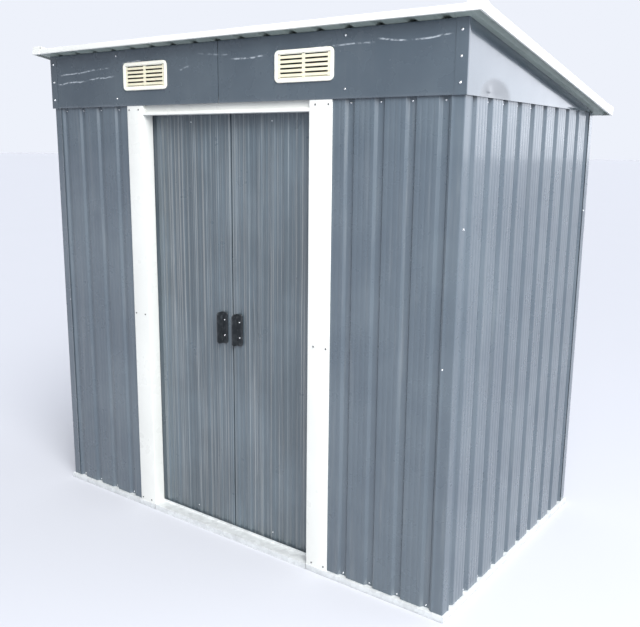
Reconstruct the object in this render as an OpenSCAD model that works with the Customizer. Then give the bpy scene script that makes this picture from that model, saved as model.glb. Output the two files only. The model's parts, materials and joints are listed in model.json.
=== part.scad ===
// Pent-roofed storage shed of painted sheet steel, with a pair of sliding doors.
// The walls are centred on the Z axis and the base rails stand on z = 0.
// The doors are in the wall on the -Y side, where the roof is at its highest.

/* [Building] */
// Width of the walls, along the front
wall_w = 1810; // [1500:5:2600]
// Depth of the walls, from front to back
wall_d = 1060; // [800:5:1800]
// Height of the wall sheets, from the base rail to the eave
wall_h = 1552; // [1250:2:1900]
// How much higher the roof is over the front wall than over the back wall
roof_rise = 198; // [150:2:300]

/* [Wall and roof sheets] */
// Thickness of the ribbed sheets
sheet_t = 1; // [0.6:0.1:1.5]
// Distance from one valley to the next
rib_pitch = 105.5; // [90:0.5:140]
// Depth of the valleys
rib_depth = 9; // [6:0.5:14]
// Width of a valley at the face of the sheet
valley_w = 34; // [26:1:40]
// Width of a valley at its floor
valley_floor_w = 20; // [12:1:24]
// Width of each of the three fine grooves along a crown
groove_w = 7; // [4:0.5:8]
// Depth of those grooves
groove_depth = 1.2; // [0.6:0.1:2]
// Distance between those grooves
groove_pitch = 19; // [14:0.5:20]

/* [Folded steel] */
// Thickness of rails, posts, tracks and trims
fold_t = 1.2; // [1:0.1:2]
// Height of the base rail's outer face
base_h = 20; // [15:1:40]
// How far the base rail stands out past the wall
base_ledge = 8; // [6:1:15]
// Width of the base rail's foot inside the wall
base_foot = 30; // [25:1:40]
// Height of the base rail's upstand behind the sheets
base_upstand = 30; // [20:1:50]
// Width of the legs of the frame's angles
angle_leg = 30; // [25:1:45]
// Height of the mid rails above the ground
mid_rail_z = 790; // [600:10:1000]
// Width of each leg of the corner trims
corner_leg = 38; // [30:1:42]

/* [Roof] */
// How far the roof reaches past the side walls
overhang_side = 60; // [50:1:90]
// How far the roof reaches past the front and back walls, in plan
overhang_end = 52; // [46:1:90]
// Height of the trims along the roof's front and back edges
end_trim_h = 20; // [16:1:30]
// Height of the trims along the roof's sloping side edges
side_trim_h = 29; // [20:1:36]
// Length of each arm of the roof's corner caps
cap_arm = 42; // [30:1:60]
// Height of the roof beams
beam_h = 38; // [25:1:50]
// Width of the roof beams
beam_w = 32; // [25:1:50]

/* [Fascia] */
// How far the fascia and the gable panels stand out past the walls
fascia_out = 8; // [6:0.5:12]
// Width of the gable panel's flange on the face of the fascia
gable_flange = 38; // [25:1:50]
// Width of a vent
vent_w = 228; // [180:2:260]
// Height of a vent
vent_h = 98; // [80:2:110]
// Distance from the middle of the shed to the middle of a vent
vent_x = 360; // [200:2:400]
// Height of the middle of the vents above the eave
vent_rise = 103; // [80:1:120]

/* [Doorway] */
// Clear width between the door jambs
opening_w = 760; // [600:5:900]
// Width of a jamb's face
jamb_w = 86; // [60:1:100]
// How far the jambs and the header stand out past the wall
jamb_out = 6; // [3:0.5:8]
// How far the doors are set back behind the face of the wall
door_recess = 47; // [40:1:60]
// Height of the header that shows below the fascia
header_drop = 34; // [20:1:50]
// Height of the header's lip
header_lip = 11; // [8:1:18]

/* [Doors] */
// How far each door reaches behind its jamb when it is shut
door_lap = 18; // [10:1:40]
// Gap between the two doors when they are shut
door_gap = 5; // [5:0.5:8]
// Distance from one raised band of the door sheet to the next
door_rib_pitch = 57.5; // [40:0.5:80]
// Width of a raised band
door_band_w = 25; // [15:1:32]
// Height of a raised band
door_band_h = 3; // [1.5:0.5:5]
// Width of the slopes and beads of the door sheet
door_slope_w = 4; // [3:0.5:5]
// Thickness of the frame behind each door sheet
door_frame_d = 13; // [8:1:16]
// Width of the members of that frame
door_frame_w = 28; // [20:1:40]
// Clearance of the gliders in the tracks
glide_gap = 0.3; // [0.2:0.1:0.5]

/* [Handles] */
// Length of a handle
handle_l = 116; // [90:1:140]
// Width of the plate that is screwed to the door
handle_w = 29; // [24:1:34]
// How far the grip stands out from the door
handle_d = 29; // [24:1:34]
// Thickness of the handle's plastic
handle_t = 4; // [3:0.5:5]
// Distance from the door's meeting edge to the handle
handle_edge = 19; // [12:1:30]
// Height of the middle of the handles above the ground
handle_z = 788; // [700:2:900]

/* [Hidden] */
$fn = 48;

// Colours
SLATE = "#4a5560";
DOOR_SLATE = "#59636d";
GALVANISED = "#b4b8ba";
WHITE = "#eceeed";
CREAM = "#efeede";
BLACK = "#1c1e21";
UNDERSIDE = "#77817e";

// How far a cut runs past what it cuts
over = 1;
// Clearance between two fixed pieces that lie side by side
seat_gap = 0.2;

half_w = wall_w / 2;
half_d = wall_d / 2;
eave_z = base_h + wall_h;
slope = atan(roof_rise / wall_d);
sheet_depth = rib_depth + sheet_t;
// Least width of plain crown between the end of a wall and its first valley
crown_margin = 40;
grooves = [-1, 0, 1];

// Height of the roof's underside at a distance y from the middle of the shed
function soffit_z(y) = eave_z + roof_rise * (half_d - y) / wall_d;

// Where the valleys are along a wall of this length, centred on 0
function valley_count(length) = floor((length - 2 * crown_margin) / rib_pitch) + 1;
function valley_at(length, k) = (k - (valley_count(length) - 1) / 2) * rib_pitch;

// [place, depth] pairs of one valley or groove
function valley_points(c) = [[c - valley_w / 2, 0], [c - valley_floor_w / 2, rib_depth],
    [c + valley_floor_w / 2, rib_depth], [c + valley_w / 2, 0]];
function groove_points(c) = [[c - groove_w / 2, 0], [c - groove_w / 6, groove_depth],
    [c + groove_w / 6, groove_depth], [c + groove_w / 2, 0]];
// The spare valleys are those past the ends, and grooves lie only between lo and hi
function wall_table(length, spare, lo, hi) = [for (k = [-2 : valley_count(length) + 1])
    let (c = valley_at(length, k), shown = k >= -spare && k < valley_count(length) + spare)
    each concat(shown ? valley_points(c) : [],
        [for (g = grooves) let (x = c + rib_pitch / 2 + g * groove_pitch)
            if (x - groove_w / 2 > lo && x + groove_w / 2 < hi) each groove_points(x)])];

// [place, depth] pairs of a door sheet: raised bands with a bead along each flat
function band_points(c) = [[c, door_band_h], [c + door_slope_w, 0],
    [c + door_band_w - door_slope_w, 0], [c + door_band_w, door_band_h]];
function bead_points(c) = [[c - door_slope_w, door_band_h], [c, door_band_h / 2],
    [c + door_slope_w, door_band_h]];
function door_table(length) = [for (k = [-1 : ceil(length / door_rib_pitch)])
    let (c = k * door_rib_pitch)
    each concat(band_points(c), bead_points(c + (door_band_w + door_rib_pitch) / 2))];

// Outline of a sheet from a to b, whose face is at y = 0 and whose back is at +Y
least_step = 0.01;
function face_line(a, b, table) = concat([[a, lookup(a, table)]],
    [for (p = table) if (p[0] > a + least_step && p[0] < b - least_step) p],
    [[b, lookup(b, table)]]);
function reversed(list) = [for (i = [len(list) - 1 : -1 : 0]) list[i]];
module ribbed_sheet(a, b, height, table, t) {
    face = face_line(a, b, table);
    linear_extrude(height)
        polygon(concat(face, [for (p = reversed(face)) p + [0, t]]));
}

// Turns what is drawn for the front wall, with its face at y = 0, to another wall
module on_front() { translate([0, -half_d, 0]) children(); }
module on_back() { translate([0, half_d, 0]) rotate([0, 0, 180]) children(); }
module on_right() { translate([half_w, 0, 0]) rotate([0, 0, 90]) children(); }
module on_left() { translate([-half_w, 0, 0]) rotate([0, 0, -90]) children(); }

// A fold drawn as [y, z] points, run along X from a to b
module fold_along_x(points, a, b) {
    translate([a, 0, 0]) rotate([90, 0, 90]) linear_extrude(b - a) polygon(points);
}

// ---- Base -------------------------------------------------------------------

base_points = [[base_foot, 0], [-base_ledge, 0], [-base_ledge, base_h],
    [sheet_depth, base_h], [sheet_depth, base_h + base_upstand],
    [sheet_depth + fold_t, base_h + base_upstand], [sheet_depth + fold_t, base_h - fold_t],
    [fold_t - base_ledge, base_h - fold_t], [fold_t - base_ledge, fold_t],
    [base_foot, fold_t]];

// A base rail under a wall of this length, mitred at both ends with a gap at the mitre
module base_rail(length) {
    reach = length / 2 + base_ledge;
    cut = base_foot + base_ledge;
    intersection() {
        fold_along_x(base_points, -reach, reach);
        linear_extrude(base_h + base_upstand)
            polygon([[seat_gap - reach, -base_ledge], [reach - seat_gap, -base_ledge],
                [reach - cut - seat_gap, base_foot], [cut + seat_gap - reach, base_foot]]);
    }
}

// The front wall's sheets and base rail end behind the returns of the two jambs
jamb_seat = 1;
front_inner = opening_w / 2 + fold_t + jamb_seat;

module base_rails() {
    rail_d = base_ledge + base_foot;
    color(GALVANISED) {
        difference() {
            on_front() base_rail(wall_w);
            translate([-front_inner, -half_d - base_ledge - over, -over])
                cube([2 * front_inner, rail_d + 2 * over, base_h + base_upstand + 2 * over]);
        }
        on_back() base_rail(wall_w);
        on_left() base_rail(wall_d);
        on_right() base_rail(wall_d);
    }
}

// Places across the doorway, measured from the face of the front wall
track_clear = 5.6;
sill_back = door_recess - track_clear - fold_t - seat_gap;
sill_curb = 8;
guide_front = sill_back + seat_gap;
guide_inner = guide_front + fold_t;
sheet_back = door_band_h + sheet_t;
leaf_d = sheet_back + door_frame_d;
leaf_back = door_recess + leaf_d;
guide_back = leaf_back + track_clear;
guide_h = 18;
// The tracks stop clear of the base rails and of the frame at the side walls
post_clear = sheet_depth + fold_t + angle_leg;
track_end_gap = 1;
track_half = half_w - post_clear - track_end_gap;

module door_sill() {
    color(GALVANISED) on_front() fold_along_x([[-base_ledge, 0], [-base_ledge, base_h],
        [sill_back - fold_t, base_h], [sill_back - fold_t, base_h + sill_curb],
        [sill_back, base_h + sill_curb], [sill_back, 0], [sill_back - fold_t, 0],
        [sill_back - fold_t, base_h - fold_t], [fold_t - base_ledge, base_h - fold_t],
        [fold_t - base_ledge, 0]], -opening_w / 2, opening_w / 2);
}

module door_guide_rail() {
    color(GALVANISED) on_front() fold_along_x([[guide_front, 0], [guide_front, guide_h],
        [guide_inner, guide_h], [guide_inner, fold_t], [guide_back, fold_t],
        [guide_back, guide_h], [guide_back + fold_t, guide_h], [guide_back + fold_t, 0]],
        -track_half, track_half);
}

// ---- Walls ------------------------------------------------------------------

// The sheets are plain under the corner trims, and behind the jambs
w_table = wall_table(wall_w, 0, corner_leg - half_w, half_w - corner_leg);
d_table = wall_table(wall_d, 0, corner_leg - half_d, half_d - corner_leg);
panel_w = half_w - opening_w / 2 - jamb_w;
panel_mid = half_w - panel_w / 2;
panel_table = wall_table(panel_w, 0, -panel_w / 2, panel_w / 2 - corner_leg);
// The front sheets go up behind the fascia
front_tuck = 25;

module front_wall_right() {
    color(SLATE) on_front() translate([panel_mid, 0, base_h])
        ribbed_sheet(front_inner - panel_mid, panel_w / 2, wall_h + front_tuck,
            panel_table, sheet_t);
}
module front_wall_left() { mirror([1, 0, 0]) front_wall_right(); }

module wall_sheet(a, b, table) {
    color(SLATE) translate([0, 0, base_h]) ribbed_sheet(a, b, wall_h, table, sheet_t);
}
side_end = half_d - sheet_t;
module left_wall_front_sheet() { on_left() wall_sheet(0, side_end, d_table); }
module left_wall_rear_sheet() { on_left() wall_sheet(-side_end, 0, d_table); }
module right_wall_front_sheet() { on_right() wall_sheet(-side_end, 0, d_table); }
module right_wall_rear_sheet() { on_right() wall_sheet(0, side_end, d_table); }
module back_wall_left_sheet() { on_back() wall_sheet(0, half_w, w_table); }
module back_wall_right_sheet() { on_back() wall_sheet(-half_w, 0, w_table); }

// An L of two legs whose inner faces lie on x = 0 and y = 0 of the -X -Y corner
module outer_angle(leg, t, height) {
    linear_extrude(height)
        polygon([[-t, -t], [leg, -t], [leg, 0], [0, 0], [0, leg], [-t, leg]]);
}
module corner_trims(height) {
    color(SLATE) for (m = [0, 1]) mirror([m, 0, 0])
        translate([-half_w, -half_d, base_h]) outer_angle(corner_leg, sheet_t, height);
}
module corner_trims_front() { corner_trims(wall_h); }
// The back ones stop under the roof, which goes on sloping down past the back wall
module corner_trims_back() {
    mirror([0, 1, 0]) corner_trims(soffit_z(half_d + sheet_t) - roof_seat - base_h);
}

// ---- Frame ------------------------------------------------------------------

rail_z = eave_z - angle_leg;

// Posts stand in the corners, behind the sheets and above the base rails
module corner_post() {
    inset = sheet_depth + fold_t;
    translate([inset - half_w, inset - half_d, base_h + base_upstand])
        outer_angle(angle_leg, fold_t, rail_z - base_h - base_upstand);
}
module corner_posts() {
    color(GALVANISED) for (mx = [0, 1], my = [0, 1])
        mirror([mx, 0, 0]) mirror([0, my, 0]) corner_post();
}

// A rail with one leg against the back of the sheets and one leg inwards at its top
module wall_angle(a, b, z, leg) {
    fold_along_x([[sheet_depth, z], [sheet_depth, z + leg], [sheet_depth + leg, z + leg],
        [sheet_depth + leg, z + leg - fold_t], [sheet_depth + fold_t, z + leg - fold_t],
        [sheet_depth + fold_t, z]], a, b);
}
module mid_rails() {
    color(GALVANISED) {
        on_back() wall_angle(post_clear - half_w, half_w - post_clear, mid_rail_z, angle_leg);
        on_left() wall_angle(post_clear - half_d, half_d - post_clear, mid_rail_z, angle_leg);
        on_right() wall_angle(post_clear - half_d, half_d - post_clear, mid_rail_z, angle_leg);
    }
}
module top_rails() {
    side_a = sheet_depth + angle_leg + seat_gap - half_d;
    color(GALVANISED) {
        on_back() wall_angle(sheet_depth - half_w, half_w - sheet_depth, rail_z, angle_leg);
        on_left() wall_angle(side_a, -side_a, rail_z, angle_leg);
        on_right() wall_angle(side_a, -side_a, rail_z, angle_leg);
    }
}

// The front rail carries the door track on its long inward leg
front_rail_top = eave_z + front_tuck;
hook_y = leaf_back + track_clear;
hook_depth = 14;
track_y = hook_y + hook_depth;
module front_top_rail() {
    reach = track_y + fold_t;
    color(GALVANISED) on_front() fold_along_x([[sheet_depth, eave_z],
        [sheet_depth, front_rail_top], [reach, front_rail_top],
        [reach, front_rail_top - fold_t], [sheet_depth + fold_t, front_rail_top - fold_t],
        [sheet_depth + fold_t, eave_z]],
        sheet_depth - half_w, half_w - sheet_depth);
}

// ---- Doorway ----------------------------------------------------------------

header_z = eave_z - header_drop;
// How far the door sheets reach up behind the header, and stand clear of the guide rail
header_cover = 10;
leaf_clear = 3.2;
leaf_top = header_z + header_cover;
leaf_z = guide_h + leaf_clear;
// The track's lip stands behind the top of the door frames
track_lip_drop = 6;
track_lip_h = 10;
track_lip_z = leaf_top - track_lip_drop;
track_floor_z = track_lip_z - track_lip_h;

module door_track() {
    color(GALVANISED) on_front() fold_along_x([[hook_y, track_floor_z],
        [hook_y, track_lip_z], [hook_y + fold_t, track_lip_z],
        [hook_y + fold_t, track_floor_z + fold_t],
        [track_y, track_floor_z + fold_t], [track_y, front_rail_top - fold_t],
        [track_y + fold_t, front_rail_top - fold_t], [track_y + fold_t, track_floor_z]],
        -track_half, track_half);
}

// Channel round the edge of the doorway, drawn for the right-hand side
jamb_door_gap = 6;
jamb_back = door_recess - jamb_door_gap;
jamb_stiffener = 22;
module door_jamb() {
    a = opening_w / 2;
    b = a + jamb_w;
    color(WHITE) translate([0, -half_d, base_h]) linear_extrude(wall_h) polygon([
        [a, -jamb_out], [b, -jamb_out], [b, 0], [b - fold_t, 0],
        [b - fold_t, fold_t - jamb_out], [a + fold_t, fold_t - jamb_out],
        [a + fold_t, jamb_back - fold_t], [a + jamb_stiffener, jamb_back - fold_t],
        [a + jamb_stiffener, jamb_back], [a, jamb_back]]);
}
module door_jamb_right() { door_jamb(); }
module door_jamb_left() { mirror([1, 0, 0]) door_jamb(); }

module door_header() {
    lip_top = header_z + header_lip;
    web = sheet_depth - fold_t;
    color(WHITE) on_front() fold_along_x([[-jamb_out, header_z], [-jamb_out, lip_top],
        [web, lip_top], [web, front_rail_top], [sheet_depth, front_rail_top],
        [sheet_depth, lip_top - fold_t], [fold_t - jamb_out, lip_top - fold_t],
        [fold_t - jamb_out, header_z + fold_t], [jamb_back, header_z + fold_t],
        [jamb_back, header_z]], -opening_w / 2, opening_w / 2);
}

// ---- Fascia, gables and vents -------------------------------------------------

fascia_flange = 24;
fascia_z = eave_z + vent_rise;
vent_r = 16;
vent_t = 5;
vent_rim = 7;
vent_web_t = 2;
slot_rows = 6;
slot_l = 87;
slot_h = 5.4;
slot_pitch = 13.6;
slot_gap = 11;
vent_cut = 12;

module rounded_plate(w, h, r, t) {
    linear_extrude(t) union() {
        square([w - 2 * r, h], center = true);
        square([w, h - 2 * r], center = true);
        for (x = [r - w / 2, w / 2 - r], y = [r - h / 2, h / 2 - r]) translate([x, y]) circle(r);
    }
}
// Lays a plate drawn in XY on the face of the fascia, facing -Y
module on_fascia(x) {
    translate([x, -half_d - fascia_out, fascia_z]) rotate([90, 0, 0]) children();
}

// Clearance of the fascia and the gables under the roof sheets
roof_seat = 0.05;
// Half of the fascia, as a folded sheet whose top flange lies under the roof sheets
module fascia(a, b, x) {
    f = -fascia_out;
    g = f + fascia_flange;
    function z_at(y) = soffit_z(y - half_d) - roof_seat;
    color(SLATE) difference() {
        on_front() fold_along_x([[f, eave_z], [f, z_at(f)], [g, z_at(g)],
            [g, z_at(g) - fold_t], [f + sheet_t, z_at(f + sheet_t) - fold_t],
            [f + sheet_t, eave_z + fold_t], [0, eave_z + fold_t], [0, eave_z]], a, b);
        on_fascia(x) translate([0, 0, -fascia_out]) linear_extrude(2 * fascia_out)
            square([vent_w - 2 * vent_cut, vent_h - 2 * vent_cut], center = true);
    }
}
fascia_half = half_w + fascia_out - sheet_t;
module fascia_left() { fascia(-fascia_half, 0, -vent_x); }
module fascia_right() { fascia(0, fascia_half, vent_x); }

module vent() {
    color(CREAM) difference() {
        rounded_plate(vent_w, vent_h, vent_r, vent_t);
        translate([0, 0, vent_web_t])
            rounded_plate(vent_w - 2 * vent_rim, vent_h - 2 * vent_rim, vent_r - vent_rim, vent_t);
        for (row = [0 : slot_rows - 1], side = [-1, 1])
            translate([side * (slot_l + slot_gap) / 2, (row - (slot_rows - 1) / 2) * slot_pitch,
                -over]) linear_extrude(vent_t) square([slot_l, slot_h], center = true);
    }
}
module vent_left() { on_fascia(-vent_x) vent(); }
module vent_right() { on_fascia(vent_x) vent(); }

// Triangle over a side wall, drawn for the right-hand side, with flanges on three edges
gable_min_h = 10;
module gable() {
    front = -half_d - fascia_out;
    back = half_d - gable_min_h * wall_d / roof_rise;
    x = half_w + fascia_out;
    hollow = over + fascia_out - sheet_t;
    function z_at(y) = soffit_z(y) - roof_seat;
    color(SLATE) difference() {
        union() {
            translate([half_w, 0, 0]) rotate([90, 0, 90]) linear_extrude(fascia_out)
                polygon([[front, eave_z], [front, z_at(front)],
                    [back, z_at(back)], [back, eave_z]]);
            translate([0, front - sheet_t, 0]) rotate([90, 0, 90])
                translate([0, 0, x - gable_flange]) linear_extrude(gable_flange)
                polygon([[0, eave_z], [0, z_at(front)], [sheet_t, z_at(front)],
                    [sheet_t, eave_z]]);
        }
        translate([half_w - over, 0, 0]) rotate([90, 0, 90]) linear_extrude(hollow)
            polygon([[front, eave_z + fold_t], [front, z_at(front) - fold_t],
                [back + over, z_at(back + over) - fold_t], [back + over, eave_z + fold_t]]);
        // Room for the ends of the fascia's own folds
        translate([half_w - over, front, eave_z - over])
            cube([hollow, fascia_flange + over, z_at(front) - eave_z + 2 * over]);
    }
}
module gable_right() { gable(); }
module gable_left() { mirror([1, 0, 0]) gable(); }

// ---- Roof -------------------------------------------------------------------

// Plan distances from the front wall's face are divided by this to lie along the slope
run = cos(slope);
trim_low = -fold_t;
trim_top = side_trim_h - fold_t;
// The corner caps are the outermost pieces, so the edges lie one thickness inside them
front_edge = fold_t - (overhang_end + trim_low * sin(slope)) / run;
back_edge = (wall_d + overhang_end - (trim_top + fold_t) * sin(slope)) / run - fold_t;
trim_side_x = half_w + overhang_side - fold_t;
trim_flange = 22;

// x is across, y runs down the slope from the front wall's face, z = 0 is the underside
module on_roof() {
    translate([0, -half_d, soffit_z(-half_d)]) rotate([-slope, 0, 0]) children();
}
// The roof sheets lie on their broad flats, with the narrow ribs standing up
roof_table = wall_table(wall_w, 1, -half_w, half_w);
module roof_sheet(a, b) {
    inset = fold_t + seat_gap;
    color(UNDERSIDE) on_roof() translate([0, front_edge + inset, 0])
        rotate([-90, 0, 0]) mirror([0, 1, 0])
        ribbed_sheet(a, b, back_edge - front_edge - 2 * inset, roof_table, sheet_t);
}
roof_half = trim_side_x - fold_t;
// The outer seams are half a pitch from a valley, near the middle of each half
roof_seam = rib_pitch * (floor(half_w / 2 / rib_pitch) + 0.5);
module roof_sheet_1() { roof_sheet(-roof_half, -roof_seam); }
module roof_sheet_2() { roof_sheet(-roof_seam, 0); }
module roof_sheet_3() { roof_sheet(0, roof_seam); }
module roof_sheet_4() { roof_sheet(roof_seam, roof_half); }

// Edge channel that holds the roof sheets between a bottom and a top flange
function edge_points(h) = [[0, trim_low], [0, trim_low + h], [trim_flange / 2, trim_low + h],
    [trim_flange / 2, trim_low + h - fold_t], [fold_t, trim_low + h - fold_t], [fold_t, 0],
    [trim_flange, 0], [trim_flange, trim_low]];

// The trim along an edge from a to b, at y = 0 and facing -Y, mitred at both ends
module edge_trim(a, b, h) {
    color(WHITE) intersection() {
        fold_along_x(edge_points(h), a, b);
        translate([0, 0, trim_low]) linear_extrude(h)
            polygon([[a, 0], [b, 0], [b - trim_flange, trim_flange],
                [a + trim_flange, trim_flange]]);
    }
}
module roof_trim_front() {
    on_roof() translate([0, front_edge, 0]) edge_trim(-trim_side_x, trim_side_x, end_trim_h);
}
module roof_trim_back() {
    on_roof() translate([0, back_edge, 0]) rotate([0, 0, 180])
        edge_trim(-trim_side_x, trim_side_x, end_trim_h);
}
module roof_trim_right() {
    on_roof() translate([trim_side_x, 0, 0]) rotate([0, 0, 90])
        edge_trim(front_edge, back_edge, side_trim_h);
}
module roof_trim_left() { mirror([1, 0, 0]) roof_trim_right(); }

// A cap covers the top and the two outer faces of the trims, drawn for the -X -Y corner
module roof_corner_cap() {
    h = trim_top - trim_low + fold_t;
    translate([0, 0, trim_low]) outer_angle(cap_arm, fold_t, h);
    translate([-fold_t, -fold_t, trim_top]) cube([cap_arm + fold_t, cap_arm + fold_t, fold_t]);
}
module roof_corner_caps() {
    color(WHITE) on_roof() for (m = [0, 1]) mirror([m, 0, 0]) {
        translate([-trim_side_x, front_edge, 0]) roof_corner_cap();
        translate([-trim_side_x, back_edge, 0]) mirror([0, 1, 0]) roof_corner_cap();
    }
}

// Two channels under the sheets, from gable to gable
beam_places = [1 / 3, 2 / 3];
module roof_beam(y) {
    a = y - beam_w / 2;
    b = y + beam_w / 2;
    fold_along_x([[a, -beam_h], [a, 0], [b, 0], [b, -beam_h], [b - fold_t, -beam_h],
        [b - fold_t, -fold_t], [a + fold_t, -fold_t], [a + fold_t, -beam_h]],
        -half_w, half_w);
}
module roof_beams() {
    color(GALVANISED) on_roof() for (p = beam_places) roof_beam(p * wall_d / run);
}

// ---- Doors ------------------------------------------------------------------

// Everything below is drawn for the right-hand door, shut
leaf_a = door_gap / 2;
leaf_b = opening_w / 2 + door_lap;
leaf_y = door_recess - half_d;
glider_w = 34;
glider_t = 4;
glider_inset = 60;
glider_places = [glider_inset, leaf_b - leaf_a - glider_inset];

module leaf_sheet() {
    color(DOOR_SLATE) translate([leaf_a, leaf_y, leaf_z])
        ribbed_sheet(0, leaf_b - leaf_a, leaf_top - leaf_z,
            door_table(leaf_b - leaf_a), sheet_t);
}
module leaf_frame() {
    w = leaf_b - leaf_a;
    h = leaf_top - leaf_z;
    f = door_frame_w;
    color(GALVANISED) translate([leaf_a, leaf_y + sheet_back, leaf_z]) difference() {
        cube([w, door_frame_d, h]);
        translate([f, -over, f]) cube([w - 2 * f, door_frame_d + 2 * over, h - 2 * f]);
        translate([fold_t, fold_t, fold_t])
            cube([w - 2 * fold_t, door_frame_d, h - 2 * fold_t]);
    }
}
// Two hangers ride on the lip of the track and two shoes run in the guide rail
module leaf_gliders() {
    hanger_z = track_lip_z + glide_gap;
    tab_y = track_y - glider_t;
    tab_z = track_floor_z + fold_t + glider_t / 2;
    shoe_y = guide_inner + glide_gap;
    shoe_z = fold_t + glide_gap;
    neck_z = guide_h - fold_t;
    color(BLACK) for (x = glider_places) translate([leaf_a + x - glider_w / 2, -half_d, 0]) {
        fold_along_x([[leaf_back, leaf_top], [tab_y, leaf_top], [tab_y, tab_z],
            [tab_y - glider_t, tab_z], [tab_y - glider_t, hanger_z],
            [leaf_back, hanger_z]], 0, glider_w);
        fold_along_x([[shoe_y, shoe_z], [shoe_y, neck_z], [door_recess, neck_z],
            [door_recess, leaf_z], [leaf_back, leaf_z], [leaf_back, neck_z],
            [guide_back - glide_gap, neck_z], [guide_back - glide_gap, shoe_z]],
            0, glider_w);
    }
}

// Plate on the door with a grip standing out along its left-hand edge
module handle_outline(w, corner) {
    polygon([[0, 0], [w - corner, 0], [w, corner], [w, handle_l - corner],
        [w - corner, handle_l], [0, handle_l]]);
}
module handle() {
    corner = handle_w / 4;
    color(BLACK) {
        rotate([90, 0, 0]) linear_extrude(handle_t) handle_outline(handle_w, corner);
        rotate([90, 0, -90]) translate([0, 0, -handle_t]) linear_extrude(handle_t)
            handle_outline(handle_d, corner);
    }
}
handle_low = handle_z - handle_l / 2;
module door_right_handle() {
    translate([leaf_a + handle_edge, leaf_y, handle_low]) handle();
}
module door_left_handle() {
    translate([-leaf_a - handle_edge - handle_w, leaf_y, handle_low]) handle();
}

module door_right_sheet() { leaf_sheet(); }
module door_right_frame() { leaf_frame(); }
module door_right_gliders() { leaf_gliders(); }
module door_left_sheet() { mirror([1, 0, 0]) leaf_sheet(); }
module door_left_frame() { mirror([1, 0, 0]) leaf_frame(); }
module door_left_gliders() { mirror([1, 0, 0]) leaf_gliders(); }

base_rails();
door_sill();
door_guide_rail();
front_wall_left();
front_wall_right();
left_wall_front_sheet();
left_wall_rear_sheet();
right_wall_front_sheet();
right_wall_rear_sheet();
back_wall_left_sheet();
back_wall_right_sheet();
corner_trims_front();
corner_trims_back();
corner_posts();
mid_rails();
top_rails();
front_top_rail();
door_track();
door_jamb_left();
door_jamb_right();
door_header();
fascia_left();
fascia_right();
gable_left();
gable_right();
vent_left();
vent_right();
roof_sheet_1();
roof_sheet_2();
roof_sheet_3();
roof_sheet_4();
roof_beams();
roof_trim_front();
roof_trim_back();
roof_trim_left();
roof_trim_right();
roof_corner_caps();
door_left_sheet();
door_left_frame();
door_left_gliders();
door_left_handle();
door_right_sheet();
door_right_frame();
door_right_gliders();
door_right_handle();
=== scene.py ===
"""Looks of a pent-roofed garden shed of painted, ribbed sheet steel with a pair of sliding doors.

Every folded sheet is swept from its own cross-section with rounded folds and stands in the
place of the plain CAD node. Lengths are in metres, +X runs along the front, +Y from the doors
to the back wall and +Z up.
"""

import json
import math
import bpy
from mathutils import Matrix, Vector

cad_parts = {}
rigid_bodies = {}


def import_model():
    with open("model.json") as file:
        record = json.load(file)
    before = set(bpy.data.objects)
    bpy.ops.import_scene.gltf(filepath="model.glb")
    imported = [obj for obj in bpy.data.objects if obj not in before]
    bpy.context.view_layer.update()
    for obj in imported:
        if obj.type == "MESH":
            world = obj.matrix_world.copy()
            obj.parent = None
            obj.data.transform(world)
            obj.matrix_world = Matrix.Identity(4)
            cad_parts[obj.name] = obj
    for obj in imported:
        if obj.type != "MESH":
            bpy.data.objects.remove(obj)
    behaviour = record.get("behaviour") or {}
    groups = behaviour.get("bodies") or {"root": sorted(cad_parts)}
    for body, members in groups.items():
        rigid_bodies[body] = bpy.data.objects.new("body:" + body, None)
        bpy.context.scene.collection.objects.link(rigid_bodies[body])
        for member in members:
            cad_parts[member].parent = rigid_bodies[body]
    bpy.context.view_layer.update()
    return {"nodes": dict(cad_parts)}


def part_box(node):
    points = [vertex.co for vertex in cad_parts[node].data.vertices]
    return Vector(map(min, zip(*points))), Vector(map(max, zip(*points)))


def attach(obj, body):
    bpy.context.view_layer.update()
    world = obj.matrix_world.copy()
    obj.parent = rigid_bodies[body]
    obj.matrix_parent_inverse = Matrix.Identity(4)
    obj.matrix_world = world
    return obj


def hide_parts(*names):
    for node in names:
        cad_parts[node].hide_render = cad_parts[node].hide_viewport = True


bl_info = {
    "name": "Metal storage shed",
    "version": (1, 0, 0),
    "blender": (4, 5, 0),
    "location": "View3D > Sidebar > Shed",
    "description": "Builds the visible sheets, trims, doors, vents and screws of a storage shed",
    "category": "Object",
}

import bmesh
import bpy
from bpy.props import FloatProperty, FloatVectorProperty, IntProperty, PointerProperty
from bpy.types import Operator, Panel, PropertyGroup
from mathutils import Matrix, Quaternion, Vector, noise

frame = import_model()

# Gap left where two swept sheets meet
CLEARANCE = 0.0002


# ---- Sizes and colours that a user would change ---------------------------------------


def length(name, default, description):
    """A length property in metres."""
    return FloatProperty(name=name, description=description, default=default,
                         min=0.0, unit="LENGTH", precision=4)


def colour(name, default, description):
    """A linear colour property."""
    return FloatVectorProperty(name=name, description=description, default=default,
                               size=3, min=0.0, max=1.0, subtype="COLOR")


def amount(name, default, description, top=1.0):
    """A plain number property."""
    return FloatProperty(name=name, description=description, default=default, min=0.0, max=top)


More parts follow.
